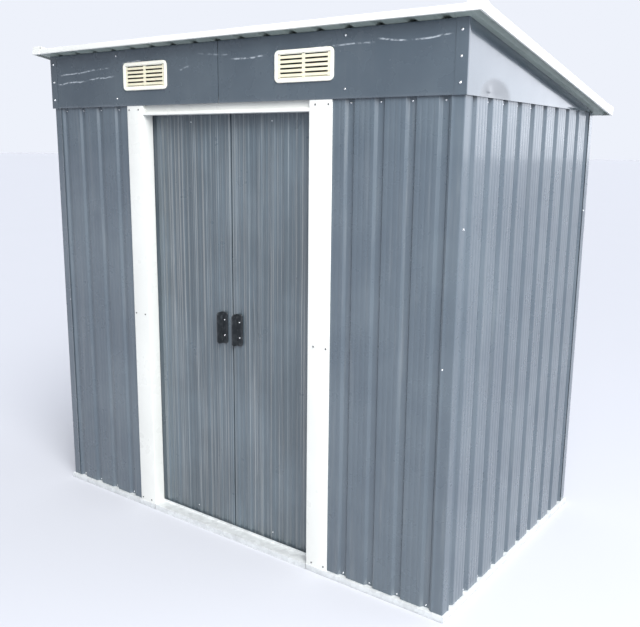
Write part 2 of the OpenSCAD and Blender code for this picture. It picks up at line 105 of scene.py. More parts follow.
class ShedSheets(PropertyGroup):
    """Sizes of the ribbed sheets. The fine grooves are wider and shallower than the CAD's."""

    thickness: length("Thickness", 0.001, "Thickness of the ribbed sheets")
    pitch: length("Rib pitch", 0.1055, "Distance from one valley to the next")
    depth: length("Rib depth", 0.009, "Depth of the valleys")
    valley: length("Valley width", 0.034, "Width of a valley at the face of the sheet")
    valley_floor: length("Valley floor", 0.020, "Width of a valley at its floor")
    groove: length("Groove width", 0.009, "Width of each fine groove along a crown")
    groove_depth: length("Groove depth", 0.0005, "Depth of the fine grooves")
    groove_pitch: length("Groove pitch", 0.019, "Distance between the fine grooves")
    margin: length("Crown margin", 0.040, "Least plain crown at the end of a wall")
    fold: length("Fold radius", 0.0035, "Radius of the folds of the ribs")
    wander: length("Waviness", 0.0006, "How far the thin sheets bow in and out")
    rows: IntProperty(name="Rows", description="Divisions along a sheet", default=14, min=1)


class ShedDoors(PropertyGroup):
    """Sizes of the door sheets and handles."""

    pitch: length("Band pitch", 0.0575, "Distance from one raised band to the next")
    band: length("Band width", 0.025, "Width of a raised band")
    height: length("Band height", 0.003, "Height of a raised band")
    slope: length("Slope width", 0.004, "Width of the slopes and beads")
    grip_t: length("Grip thickness", 0.004, "Thickness of the handle's plate and grip")
    screw_low: amount("Lower screw", 0.26, "Place of the lower handle screw along the plate")
    screw_high: amount("Upper screw", 0.75, "Place of the upper handle screw along the plate")


class ShedFolds(PropertyGroup):
    """Sizes of rails, trims and other folded steel."""

    thickness: length("Thickness", 0.0012, "Thickness of rails, jambs and trims")
    radius: length("Fold radius", 0.0022, "Radius of the folds")
    ledge: length("Base ledge", 0.008, "How far the base rail stands out past the wall")
    base_h: length("Base height", 0.020, "Height of the base rail's outer face")
    upstand: length("Base upstand", 0.030, "Height of the base rail's inner leg")
    foot: length("Base foot", 0.030, "Width of the base rail's foot inside the wall")
    roof_rise: length("Roof rise", 0.198, "Rise of the roof over the depth of the walls")
    trim_flange: length("Trim flange", 0.006, "Width of the roof trims' lower flange")
    front_trim: length("Front trim", 0.020, "Height of the roof trims along the front and back")
    side_trim: length("Side trim", 0.029, "Height of the roof trims down the slope")
    cap: length("Corner cap", 0.042, "Length of the sides of a roof corner cap")
    gable_flange: length("Gable flange", 0.038, "Width of a gable's flange over the fascia")
    header_lip: length("Header lip", 0.011, "Height of the lip below the header")
    stiffener: length("Jamb lip", 0.022, "Width of the lip at the back of a jamb")


class ShedVents(PropertyGroup):
    """Sizes of the louvre vents."""

    corner: length("Corner radius", 0.016, "Radius of the vent's corners")
    rim: length("Rim width", 0.0125, "Width of the raised rim")
    web: length("Web thickness", 0.002, "Thickness of the plate between the slots")
    slot_l: length("Slot length", 0.087, "Length of a slot")
    slot_h: length("Slot height", 0.0054, "Height of a slot")
    slot_pitch: length("Slot pitch", 0.0136, "Distance from one slot to the next")
    slot_gap: length("Slot gap", 0.011, "Width of the bar between the two rows of slots")
    rows: IntProperty(name="Rows", description="Slots one above the other", default=6, min=1)


class ShedScrews(PropertyGroup):
    """Sizes of the screws."""

    head: length("Head", 0.0070, "Diameter of a screw head")
    rise: length("Head height", 0.0020, "Height of a screw head")
    washer: length("Washer", 0.0110, "Diameter of the washer under a head")
    small: amount("Small screws", 0.72, "Size of the screws in the vents and door sheets")
    around: IntProperty(name="Sides", description="Divisions round a head", default=16, min=8)


class ShedColours(PropertyGroup):
    """Paint and plastic colours."""

    slate: colour("Slate paint", (0.076, 0.101, 0.127), "Walls, fascia and gables")
    slate_pale: colour("Faded slate", (0.089, 0.115, 0.139), "Where the slate paint is dusty")
    door: colour("Door paint", (0.071, 0.094, 0.112), "Door sheets")
    backing: colour("Back coat", (0.25, 0.30, 0.28), "Inner faces of the painted sheets")
    white: colour("White paint", (0.68, 0.695, 0.670), "Jambs, header and roof trims")
    zinc: colour("Galvanised", (0.64, 0.665, 0.67), "Base rails, sill, tracks and frame")
    cream: colour("Vent plastic", (0.80, 0.79, 0.70), "Louvre vents")
    # Painted shade: the vent plastic made darker and yellower for the plate and blades recessed
    # behind the rim
    cream_shade: colour("Vent plastic inside", (0.70, 0.66, 0.50), "Recessed part of the vents")
    black: colour("Handle plastic", (0.014, 0.017, 0.020), "Handles")
    # Pale line colour: dust on the walls; on the doors the same lines are also painted highlights
    # along the rib folds
    dust_and_highlight: colour("Dust", (0.33, 0.34, 0.34), "Dust and scuffs on the paint")


class ShedStage(PropertyGroup):
    """Camera, lights and floor."""

    azimuth: FloatProperty(name="Azimuth", description="Camera angle round the shed",
                           default=math.radians(36.04), subtype="ANGLE")
    elevation: FloatProperty(name="Elevation", description="Camera angle above the horizon",
                             default=math.radians(11.48), subtype="ANGLE")
    roll: FloatProperty(name="Roll", description="Camera turn about its own line of sight",
                        default=math.radians(0.70), subtype="ANGLE")
    distance: length("Distance", 3.2024, "From the camera to the point it looks at")
    target: FloatVectorProperty(name="Target", description="Point that the camera looks at",
                                default=(0.0522, 0.0213, 0.7834), subtype="XYZ", unit="LENGTH")
    lens: FloatProperty(name="Lens", description="Focal length in millimetres", default=44.28)
    shift: FloatVectorProperty(name="Shift", description="Lens shift across and up", size=2,
                               default=(-0.0109, -0.0049), precision=4)
    air: colour("Backdrop", (0.855, 0.887, 0.965), "Backdrop and ambient light")
    floor: colour("Floor", (0.486, 0.500, 0.540), "Pale floor")
    floor_radius: length("Floor radius", 200.0, "Radius of the floor")
    bright_side: FloatProperty(name="Bright side", default=54.0,
                               description="Degrees from +X to the middle of the bright side")
    bright: amount("Bright level", 2.8, "Strength of the bright side", 10.0)
    dim_side: FloatProperty(name="Dim side", default=234.0,
                            description="Degrees from +X to the middle of the dim side")
    dim: amount("Dim level", 0.35, "Strength of the dim side", 10.0)
    sun: amount("Sun", 3.4, "Strength of the soft sun", 20.0)
    side: amount("Side panel", 66, "Power of the panel at the front right", 1000)
    side_size: length("Side panel size", 1.6, "Width of the panel at the front right")
    side_place: FloatVectorProperty(name="Side panel place", subtype="XYZ", unit="LENGTH",
                                    description="Where the panel at the front right stands",
                                    default=(2.1, -2.0, 2.5))
    side_target: FloatVectorProperty(name="Side panel target", subtype="XYZ", unit="LENGTH",
                                     description="Point that the panel at the front right faces",
                                     default=(0.5, -0.4, 0.9))
    sun_spread: FloatProperty(name="Sun spread", description="Apparent width of the sun",
                              default=math.radians(44), subtype="ANGLE")
    sun_place: FloatVectorProperty(name="Sun direction", description="Towards the sun",
                                   default=(0.66, -0.54, 0.84), subtype="XYZ")


# ---- Materials ------------------------------------------------------------------------


class Graph:
    """The nodes of one material, joined by short calls."""

    def __init__(self, name):
        self.material = bpy.data.materials.new(name)
        self.material.use_nodes = True
        self.tree = self.material.node_tree
        self.tree.nodes.clear()
        self.shader = self.node("ShaderNodeBsdfPrincipled")
        output = self.node("ShaderNodeOutputMaterial")
        self.tree.links.new(self.shader.outputs[0], output.inputs[0])
        self.place = self.node("ShaderNodeTexCoord").outputs["Object"]

    def node(self, kind, **settings):
        made = self.tree.nodes.new(kind)
        for key, value in settings.items():
            setattr(made, key, value)
        return made

    def feed(self, socket, value):
        if isinstance(value, bpy.types.NodeSocket):
            self.tree.links.new(value, socket)
        elif hasattr(value, "__len__") and len(value) == 3 and len(socket.default_value) == 4:
            socket.default_value = (*value, 1.0)
        else:
            socket.default_value = value

    def set(self, **values):
        """Sets or joins the shader's inputs; Base_Color stands for Base Color."""
        for key, value in values.items():
            self.feed(self.shader.inputs[key.replace("_", " ")], value)

    def stretched(self, scale):
        mapping = self.node("ShaderNodeMapping")
        self.feed(mapping.inputs["Vector"], self.place)
        mapping.inputs["Scale"].default_value = scale
        return mapping.outputs[0]

    def noise(self, scale, detail=2.0, rough=0.5, stretch=(1, 1, 1)):
        made = self.node("ShaderNodeTexNoise")
        values = {"Vector": self.stretched(stretch), "Scale": scale, "Detail": detail,
                  "Roughness": rough}
        for name, value in values.items():
            self.feed(made.inputs[name], value)
        return made.outputs[0]

    def cells(self, scale):
        """A grey value for each crystal of a pattern of cells."""
        made = self.node("ShaderNodeTexVoronoi")
        self.feed(made.inputs["Vector"], self.place)
        made.inputs["Scale"].default_value = scale
        split = self.node("ShaderNodeSeparateColor")
        self.feed(split.inputs[0], made.outputs["Color"])
        return split.outputs[0]

    def axis(self, letter):
        split = self.node("ShaderNodeSeparateXYZ")
        self.feed(split.inputs[0], self.place)
        return split.outputs["XYZ".index(letter)]

    def spread(self, value, low, high, to_low=0.0, to_high=1.0):
        """Takes low to high, smoothly, to to_low to to_high."""
        made = self.node("ShaderNodeMapRange", interpolation_type="SMOOTHSTEP")
        for socket, part in zip(made.inputs, (value, low, high, to_low, to_high)):
            self.feed(socket, part)
        return made.outputs[0]

    def math(self, kind, *values):
        made = self.node("ShaderNodeMath", operation=kind)
        for socket, value in zip(made.inputs, values):
            self.feed(socket, value)
        return made.outputs[0]

    def from_middle(self, letter, middle, reach):
        """The square of how many reaches a place lies from middle along an axis."""
        share = self.math("MULTIPLY_ADD", self.axis(letter), 1 / reach, -middle / reach)
        return self.math("POWER", share, 2)

    def blend(self, share, a, b):
        made = self.node("ShaderNodeMix", data_type="RGBA")
        self.feed(made.inputs["Factor"], share)
        self.feed(made.inputs[6], a)
        self.feed(made.inputs[7], b)
        return made.outputs[2]

    def bump(self, height, strength, distance):
        made = self.node("ShaderNodeBump")
        made.inputs["Strength"].default_value = strength
        made.inputs["Distance"].default_value = distance
        self.feed(made.inputs["Height"], height)
        self.feed(self.shader.inputs["Normal"], made.outputs[0])


def darker(base, share):
    return tuple(c * share for c in base)


# Scuffs on the fascia: start and end as (x, height above the eave), and how strong each is
SCUFFS = (
    ((-0.86, 0.123), (-0.55, 0.140), 0.8),
    ((-0.88, 0.090), (-0.52, 0.108), 0.9),
    ((-0.50, 0.150), (-0.36, 0.158), 0.6),
    ((-0.20, 0.110), (-0.12, 0.128), 0.5),
    ((-0.10, 0.165), (0.06, 0.150), 0.4),
    ((0.05, 0.137), (0.21, 0.140), 0.8),
    ((0.36, 0.150), (0.62, 0.156), 0.7),
    ((0.62, 0.166), (0.73, 0.150), 0.9),
    ((0.73, 0.152), (0.87, 0.160), 0.8),
)


# Dents in the fascia: middle as (x, height above the eave), spread along both, and depth
DENTS = (
    ((-0.78, 0.150), (0.030, 0.022), 0.0016),
    ((-0.60, 0.165), (0.120, 0.012), 0.0012),
    ((-0.02, 0.168), (0.160, 0.016), 0.0015),
    ((0.62, 0.155), (0.050, 0.012), 0.0012),
    ((0.886, 0.158), (0.018, 0.007), 0.0016),
)

# The wide shallow dent at the foot of the right gable: middle y, half width and height. Over it the
# gable paint is darkened, a painted shade for the dent's darker reflection.
SHADED_DENT = (-0.355, 0.105, 0.056)


def scuff_mask(graph, eave):
    """White rub marks: thin broken streaks along the lines of SCUFFS."""
    x = graph.axis("X")
    z = graph.axis("Z")
    ragged = graph.spread(graph.noise(60, 3, 0.6, (1, 1, 2.5)), 0.38, 0.60)
    waviness = 0.012
    waver = graph.math("MULTIPLY", graph.noise(14, 2), waviness)
    total = 0.0
    for (x0, z0), (x1, z1), strength in SCUFFS:
        rise = (z1 - z0) / (x1 - x0)
        line = graph.math("MULTIPLY_ADD", x, rise, eave + z0 - x0 * rise - waviness / 2)
        off = graph.math("SUBTRACT", graph.math("SUBTRACT", z, line), waver)
        off = graph.math("ABSOLUTE", off)
        near = graph.spread(off, 0.0006, 0.0034, strength, 0.0)
        inside = graph.math("MULTIPLY", graph.spread(x, x0, x0 + 0.03),
                           graph.spread(x, x1 - 0.03, x1, 1.0, 0.0))
        total = graph.math("MAXIMUM", total, graph.math("MULTIPLY", near, inside))
    return graph.math("MULTIPLY", total, ragged)


def paint(name, base, pale, scuffs=0.0, eave=0.0, streaks=0.35, roughness=0.30, coat=0.6,
          lines=45, line_length=2.2, level=0.64, edge=0.28, shaded_dent=None):
    """Coil-coated steel: slightly uneven colour, dusty upright lines and a gloss coat. Where the
    lines are many and fine, as on the doors, they also stand in for the light caught by the rib
    folds: painted highlights.

    lines is how many there are in a metre. level and edge set how much of the sheet they take up
    and how soft they are. The last argument is the middle y and z and the half width and height of
    a dent, where the paint is darkened as a painted shade for the dent's darker reflection and is
    made rougher."""
    colours = bpy.context.scene.shed_colours
    graph = Graph(name)
    clouds = graph.noise(3.5, 3)
    shade = graph.blend(graph.spread(clouds, 0.35, 0.68), darker(base, 0.92), pale)
    # Pale upright lines of dust; when many and fine, as on the doors, they are also painted
    # highlights for the rib folds
    runs = graph.noise(lines, 4, 0.65, (1, 1, line_length / lines))
    runs = graph.spread(runs, level - edge / 2, level + edge / 2)
    shade = graph.blend(graph.math("MULTIPLY", runs, streaks * 0.4), shade, colours.dust_and_highlight[:])
    if scuffs:
        marks = graph.math("MULTIPLY", scuff_mask(graph, eave), scuffs)
        shade = graph.blend(marks, shade, (0.50, 0.55, 0.60))
    rough = graph.spread(graph.noise(9, 4, 0.6), 0.3, 0.7, roughness * 0.8, roughness * 1.25)
    if shaded_dent:
        y, z, wide, high = shaded_dent
        off = graph.math("ADD", graph.from_middle("Y", y, wide), graph.from_middle("Z", z, high))
        # Painted shade: the paint darkens over the dent, standing in for its darker reflection; the
        # roughness is raised there too
        shade = graph.blend(graph.spread(off, 0.60, 1.20, 0.7, 0.0), shade, darker(base, 0.35))
        rough = graph.blend(graph.spread(off, 0.60, 1.20), (0.33, 0.33, 0.33), rough)
    graph.set(Base_Color=shade, Roughness=rough, Coat_Weight=coat, Coat_Roughness=0.09, IOR=1.5)
    graph.bump(graph.noise(520, 2), 0.05, 0.0006)
    return graph.material


def back_coat():
    """The dull grey-green primer on the inner face of the sheets."""
    base = bpy.context.scene.shed_colours.backing[:]
    graph = Graph("back_coat")
    shade = graph.blend(graph.spread(graph.noise(6, 4), 0.3, 0.7), darker(base, 0.86), base)
    graph.set(Base_Color=shade, Roughness=graph.spread(graph.noise(30, 3), 0.3, 0.7, 0.42, 0.6))
    graph.bump(graph.noise(300, 2), 0.04, 0.0005)
    return graph.material


def white_paint():
    """White gloss paint with faint grey runs."""
    base = bpy.context.scene.shed_colours.white[:]
    graph = Graph("white_paint")
    shade = graph.blend(graph.spread(graph.noise(4, 3), 0.35, 0.7), base, darker(base, 0.95))
    runs = graph.spread(graph.noise(60, 4, 0.7, (1, 1, 0.08)), 0.55, 0.85, 0.0, 0.16)
    shade = graph.blend(runs, shade, (0.52, 0.53, 0.50))
    graph.set(Base_Color=shade, Roughness=graph.spread(graph.noise(12, 3), 0.3, 0.7, 0.26, 0.4),
              Coat_Weight=0.35, Coat_Roughness=0.1)
    graph.bump(graph.noise(480, 2), 0.04, 0.0006)
    return graph.material


def galvanised(name, tone=1.0, roughness=0.34):
    """Zinc-dipped steel with the crystals that such a coat grows."""
    base = bpy.context.scene.shed_colours.zinc[:]
    graph = Graph(name)
    crystals = graph.cells(70)
    shade = graph.blend(crystals, darker(base, 0.90 * tone), darker(base, 1.08 * tone))
    stain = graph.spread(graph.noise(7, 5, 0.65), 0.55, 0.8, 0.0, 0.45)
    shade = graph.blend(stain, shade, darker(base, 0.62 * tone))
    rough = graph.math("ADD", graph.math("MULTIPLY", crystals, 0.14), roughness)
    graph.set(Base_Color=shade, Roughness=rough, Metallic=0.35)
    graph.bump(graph.noise(160, 3), 0.06, 0.0006)
    return graph.material


def vent_plastic(name, base):
    """Cream moulded plastic with a fine skin."""
    graph = Graph(name)
    shade = graph.blend(graph.spread(graph.noise(25, 3), 0.3, 0.7), base, darker(base, 0.94))
    dirt = graph.spread(graph.noise(90, 4, 0.7), 0.6, 0.85, 0.0, 0.2)
    shade = graph.blend(dirt, shade, (0.42, 0.39, 0.29))
    graph.set(Base_Color=shade, Roughness=graph.spread(graph.noise(60, 2), 0.3, 0.7, 0.36, 0.5),
              Subsurface_Weight=0.06, Subsurface_Scale=0.01)
    graph.bump(graph.noise(900, 1), 0.06, 0.0003)
    return graph.material


def black_plastic():
    """Black moulded plastic, finely grained and rubbed a little paler."""
    base = bpy.context.scene.shed_colours.black[:]
    graph = Graph("black_plastic")
    worn = graph.spread(graph.noise(70, 4, 0.65), 0.45, 0.8, 0.0, 0.5)
    shade = graph.blend(worn, base, (0.075, 0.085, 0.095))
    graph.set(Base_Color=shade, Roughness=graph.spread(graph.noise(140, 3), 0.3, 0.7, 0.30, 0.46))
    graph.bump(graph.noise(1500, 2), 0.12, 0.0003)
    return graph.material


def screw_zinc(name, tone=1.0):
    """Zinc plating on the screws, at full brightness or darkened by tone."""
    graph = Graph(name)
    shade = graph.blend(graph.noise(300, 3), darker((0.62, 0.64, 0.66), tone),
                        darker((0.88, 0.89, 0.90), tone))
    graph.set(Base_Color=shade, Metallic=1.0,
              Roughness=graph.spread(graph.noise(500, 2), 0.3, 0.7, 0.18, 0.34))
    graph.bump(graph.noise(700, 2), 0.08, 0.0002)
    return graph.material


def washer_rubber():
    """Grey rubber under the roof screws."""
    graph = Graph("washer_rubber")
    shade = graph.blend(graph.noise(200, 3), (0.03, 0.03, 0.032), (0.07, 0.07, 0.072))
    graph.set(Base_Color=shade, Roughness=graph.spread(graph.noise(300, 2), 0.3, 0.7, 0.6, 0.8))
    graph.bump(graph.noise(800, 2), 0.1, 0.0002)
    return graph.material


MADE = {}


def finish_of(name):
    """The material of that name, made when it is first asked for."""
    colours = bpy.context.scene.shed_colours
    slate, pale = colours.slate[:], colours.slate_pale[:]
    makers = {
        "slate": lambda: paint("slate_paint", slate, pale),
        "fascia": lambda: paint("fascia_paint", darker(slate, 0.82), darker(pale, 0.82),
                                scuffs=0.8, eave=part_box("fascia_right")[0].z, streaks=0.08,
                                roughness=0.26),
        # The gable paint is darkened over the dent at its foot: painted shade for the dent's darker
        # reflection
        "gable": lambda: paint("gable_paint", darker(slate, 0.82), darker(pale, 0.82),
                               streaks=0.05, roughness=0.2, coat=1.0,
                               shaded_dent=(SHADED_DENT[0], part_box("gable_right")[0].z, *SHADED_DENT[1:])),
        # The door's fine pale lines are partly dust and partly painted highlights along the rib
        # folds
        "door": lambda: paint("door_paint", colours.door[:], darker(colours.door, 1.25),
                              streaks=1.15, roughness=0.34, coat=0.5, lines=320,
                              line_length=0.7, level=0.575, edge=0.08),
        "roof": lambda: paint("roof_paint", slate, pale, streaks=0.6, roughness=0.36),
        "back": back_coat,
        "white": white_paint,
        "zinc": lambda: galvanised("galvanised"),
        "dull_zinc": lambda: galvanised("frame_zinc", 0.82, 0.42),
        "cream": lambda: vent_plastic("vent_plastic", colours.cream[:]),
        "shaded_cream": lambda: vent_plastic("vent_plastic_shaded", colours.cream_shade[:]),
        "black": black_plastic,
        "screw": lambda: screw_zinc("screw_zinc"),
        "dark_screw": lambda: screw_zinc("dark_screw_zinc", 0.2),
        "rubber": washer_rubber,
    }
    if name not in MADE:
        MADE[name] = makers[name]()
    return MADE[name]


# ---- Mesh code ------------------------------------------------------------------------


def rounded(points, radius, steps):
    """An open path with rounded corners, as (point, normal to its right-hand side) pairs."""
    points = [Vector(p) for p in points]
    line = []

    def put(p, tangent):
        tangent = tangent.normalized()
        line.append((p, Vector((tangent.y, -tangent.x))))

    put(points[0], points[1] - points[0])
    for before, corner, after in zip(points, points[1:], points[2:]):
        into, out = corner - before, after - corner
        turn = abs(into.angle_signed(out))
        if turn < 0.02 or radius <= 0:
            put(corner, into.normalized() + out.normalized())
            continue
        reach = min(radius * math.tan(turn / 2), into.length * 0.45, out.length * 0.45)
        start = corner - into.normalized() * reach
        end = corner + out.normalized() * reach
        for k in range(steps + 1):
            t = k / steps
            p = start * (1 - t) ** 2 + corner * 2 * t * (1 - t) + end * t ** 2
            put(p, (corner - start) * (1 - t) + (end - corner) * t)
    put(points[-1], points[-1] - points[-2])
    return line


class Shape:
    """Vertices and faces gathered for one piece. A face's kind is its material slot."""

    def __init__(self):
        self.points = []
        self.faces = []
        self.kinds = []

    def add(self, points, faces, kind=0):
        start = len(self.points)
        self.points += [tuple(p) for p in points]
        self.faces += [[start + i for i in face] for face in faces]
        self.kinds += kind if isinstance(kind, list) else [kind] * len(faces)

    def sheet(self, path, thickness, stations, place, radius, steps=3, push=None, is_open=None,
              face_kind=0):
        """A folded sheet. path is its outer line, with the outside to its right, and
        place(a, b, s) puts a point of it at station s in the row frame."""
        line = rounded(path, radius, steps)
        across, along = len(line), len(stations)
        points = []
        for inset in (0.0, thickness):
            for s in stations:
                for p, normal in line:
                    dent = push(p.x, p.y, s) if push else 0.0
                    q = p - normal * (inset + dent)
                    points.append(place(q.x, q.y, s))

        def index(side, j, i):
            return (side * along + j) * across + i

        kept = set()
        for j in range(along - 1):
            for i in range(across - 1):
                middle = (line[i][0] + line[i + 1][0]) / 2
                station = (stations[j] + stations[j + 1]) / 2
                if not (is_open and is_open(middle.x, middle.y, station)):
                    kept.add((j, i))
        faces, kinds = [], []
        for j, i in sorted(kept):
            for side in (0, 1):
                faces.append([index(side, j, i), index(side, j, i + 1),
                              index(side, j + 1, i + 1), index(side, j + 1, i)])
                kinds.append(1 if side else face_kind)
            corners = ((j, i), (j, i + 1), (j + 1, i + 1), (j + 1, i))
            beside = ((j - 1, i), (j, i + 1), (j + 1, i), (j, i - 1))
            for k in range(4):
                if beside[k] not in kept:
                    a, b = corners[k], corners[(k + 1) % 4]
                    faces.append([index(0, *a), index(0, *b), index(1, *b), index(1, *a)])
                    kinds.append(0)
        self.add(points, faces, kinds)

    def turned(self, profile, around, matrix, kind=0):
        """A solid of revolution about Z from (radius, height) pairs, placed by matrix."""
        points, faces = [], []
        for radius, height in profile:
            for k in range(around):
                angle = 2 * math.pi * k / around
                points.append(matrix @ Vector((radius * math.cos(angle),
                                               radius * math.sin(angle), height)))
        for row in range(len(profile) - 1):
            for k in range(around):
                a, b = row * around + k, row * around + (k + 1) % around
                faces.append([a, b, b + around, a + around])
        faces.append(list(range(around))[::-1])
        last = (len(profile) - 1) * around
        faces.append(list(range(last, last + around)))
        self.add(points, faces, kind)

    def block(self, low, high, kind=0, matrix=None):
        """A box from low to high."""
        corners = [Vector((x, y, z)) for z in (low[2], high[2])
                   for y in (low[1], high[1]) for x in (low[0], high[0])]
        if matrix:
            corners = [matrix @ c for c in corners]
        self.add(corners, [[0, 1, 3, 2], [4, 6, 7, 5], [0, 4, 5, 1], [2, 3, 7, 6],
                           [0, 2, 6, 4], [1, 5, 7, 3]], kind)

    def piece(self, name, body, finishes, slot, nodes=(), sharp=32):
        """Makes the object, which rides on body and stands for the CAD nodes."""
        mesh = bpy.data.meshes.new(name)
        mesh.from_pydata(self.points, [], self.faces)
        work = bmesh.new()
        work.from_mesh(mesh)
        bmesh.ops.remove_doubles(work, verts=work.verts, dist=1e-7)
        bmesh.ops.recalc_face_normals(work, faces=work.faces)
        work.to_mesh(mesh)
        work.free()
        if len(mesh.polygons) != len(self.kinds):
            raise RuntimeError(f"{name} lost faces while it was cleaned")
        mesh.polygons.foreach_set("material_index", self.kinds)
        mesh.polygons.foreach_set("use_smooth", [True] * len(mesh.polygons))
        mesh.set_sharp_from_angle(angle=math.radians(sharp))
        for finish in finishes:
            mesh.materials.append(finish_of(finish))
        piece = bpy.data.objects.new(name, mesh)
        bpy.context.scene.collection.objects.link(piece)
        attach(piece, body)
        if nodes:
            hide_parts(*nodes)
        return piece


def soften(piece, width, segments):
    """Rounds the edges of a piece."""
    bevel = piece.modifiers.new("soft_edges", "BEVEL")
    bevel.width = width
    bevel.segments = segments
    bevel.limit_method = "ANGLE"


def evenly(low, high, count):
    """count + 1 values from low to high."""
    return [low + (high - low) * k / count for k in range(count + 1)]


def wander(seed, step, depth):
    """Slow waves for a thin sheet, from 0 to depth, always inwards."""
    def at(u, v):
        value = noise.noise(Vector((u / step, v / step, seed)))
        return depth * min(1.0, max(0.0, 0.5 + value))
    return at


# ---- Places taken from the frame ------------------------------------------------------


class Layout:
    """Planes and edges of the shed, read from the CAD nodes."""

    def __init__(self):
        sheets = bpy.context.scene.shed_sheets
        folds = bpy.context.scene.shed_folds
        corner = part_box("corner_trims_front")
        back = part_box("corner_trims_back")
        self.half_w = corner[1].x - sheets.thickness
        self.half_d = back[1].y - sheets.thickness
        self.foot = corner[0].z
        self.eave = corner[1].z
        self.sheet_depth = sheets.depth + sheets.thickness
        self.slope = math.atan2(folds.roof_rise, 2 * self.half_d)
        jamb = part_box("door_jamb_right")
        self.jamb_in = jamb[0].x
        self.jamb_edge = jamb[1].x
        self.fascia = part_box("fascia_right")[0].y
        # Outer edges of the roof trims: half their span, and runs down the slope
        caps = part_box("roof_corner_caps")
        t, cos, sin = folds.thickness, math.cos(self.slope), math.sin(self.slope)
        self.roof_side = caps[1].x - t
        self.roof_front = t - ((-self.half_d - caps[0].y) - t * sin) / cos
        self.roof_back = (caps[1].y + self.half_d - folds.side_trim * sin) / cos - t

    def soffit(self, y):
        """Height of the roof's underside at y."""
        return self.eave + math.tan(self.slope) * (self.half_d - y)

    def roof(self, x, run, height):
        """A point of the roof, run down the slope from the front wall and height above its
        underside."""
        cos, sin = math.cos(self.slope), math.sin(self.slope)
        return Vector((x, -self.half_d + run * cos + height * sin,
                       self.soffit(-self.half_d) - run * sin + height * cos))

    def on_wall(self, side):
        """place(a, depth, z) for a wall, where a runs to the right as seen from outside."""
        w, d = self.half_w, self.half_d
        return {
            "front": lambda a, b, s: Vector((a, b - d, s)),
            "back": lambda a, b, s: Vector((-a, d - b, s)),
            "right": lambda a, b, s: Vector((w - b, a, s)),
            "left": lambda a, b, s: Vector((b - w, -a, s)),
        }[side]


def valley_places(width, middle=0.0, spare=0):
    """Places of the valleys across a wall or panel of this width."""
    sheets = bpy.context.scene.shed_sheets
    count = math.floor((width - 2 * sheets.margin) / sheets.pitch + 1e-6) + 1
    return [middle + (k - (count - 1) / 2) * sheets.pitch for k in range(-spare, count + spare)]


def rib_path(low, high, valleys, groove_low, groove_high):
    """The outer line of a ribbed sheet, as (place, depth) points."""
    sheets = bpy.context.scene.shed_sheets
    crowns = [valleys[0] - sheets.pitch / 2] + [v + sheets.pitch / 2 for v in valleys]
    points = []
    for v in valleys:
        points += [(v - sheets.valley / 2, 0), (v - sheets.valley_floor / 2, sheets.depth),
                   (v + sheets.valley_floor / 2, sheets.depth), (v + sheets.valley / 2, 0)]
    half = sheets.groove / 2
    for c in crowns:
        for g in (-sheets.groove_pitch, 0.0, sheets.groove_pitch):
            if groove_low < c + g - half and c + g + half < groove_high:
                points += [(c + g - half, 0), (c + g - half / 3, sheets.groove_depth),
                           (c + g + half / 3, sheets.groove_depth), (c + g + half, 0)]
    points = sorted(p for p in points if low + 0.0005 < p[0] < high - 0.0005)
    return [(low, points[0][1])] + points + [(high, points[-1][1])]


# ---- Operators ------------------------------------------------------------------------


class Builder(Operator):
    """Shared base: runs build() and raises an error if it made nothing."""

    bl_options = {"REGISTER", "UNDO"}
    adds_pieces = True

    def execute(self, context):
        before = len(bpy.data.objects)
        self.build(context.scene)
        if len(bpy.data.objects) == before and self.adds_pieces:
            raise RuntimeError(f"{self.bl_label} made no piece")
        return {"FINISHED"}


class SHED_OT_walls(Builder):
    """Sweeps the ribbed sheets of the four walls"""

    bl_idname = "shed.walls"
    bl_label = "Wall sheets"

    def build(self, scene):
        sheets = scene.shed_sheets
        at = Layout()
        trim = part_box("corner_trims_front")[0].y
        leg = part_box("corner_trims_front")[1].y - trim - sheets.thickness
        limit_w, limit_d = at.half_w - leg, at.half_d - leg
        panel = at.half_w - at.jamb_edge
        right = valley_places(panel, at.half_w - panel / 2)
        left = [-v for v in reversed(right)]
        across, along = valley_places(2 * at.half_w), valley_places(2 * at.half_d)
        plans = {
            "front_wall_left": ("front", -1, left, -limit_w, -at.jamb_edge),
            "front_wall_right": ("front", 1, right, at.jamb_edge, limit_w),
            "left_wall_front_sheet": ("left", 1, along, -limit_d, limit_d),
            "left_wall_rear_sheet": ("left", -1, along, -limit_d, limit_d),
            "right_wall_front_sheet": ("right", -1, along, -limit_d, limit_d),
            "right_wall_rear_sheet": ("right", 1, along, -limit_d, limit_d),
            "back_wall_left_sheet": ("back", 1, across, -limit_w, limit_w),
            "back_wall_right_sheet": ("back", -1, across, -limit_w, limit_w),
        }
        for seed, (node, plan) in enumerate(plans.items()):
            side, half, valleys, low_groove, high_groove = plan
            low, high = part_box(node)
            axis = 0 if side in ("front", "back") else 1
            spots = sorted((abs(low[axis]), abs(high[axis])))
            inner, outer = spots if low[axis] * high[axis] > 0 else (0.0, spots[1])
            a, b = (inner, outer) if half > 0 else (-outer, -inner)
            path = rib_path(a, b, valleys, low_groove, high_groove)
            wave = wander(seed * 7.3, 0.35, sheets.wander)
            shape = Shape()
            shape.sheet(path, sheets.thickness, evenly(low.z, high.z, sheets.rows),
                        at.on_wall(side), sheets.fold, 3,
                        lambda u, d, z, wave=wave: wave(u, z * 0.6))
            shape.piece("ribbed_" + node, "shed", ["slate", "back"], "slate_paint", [node])


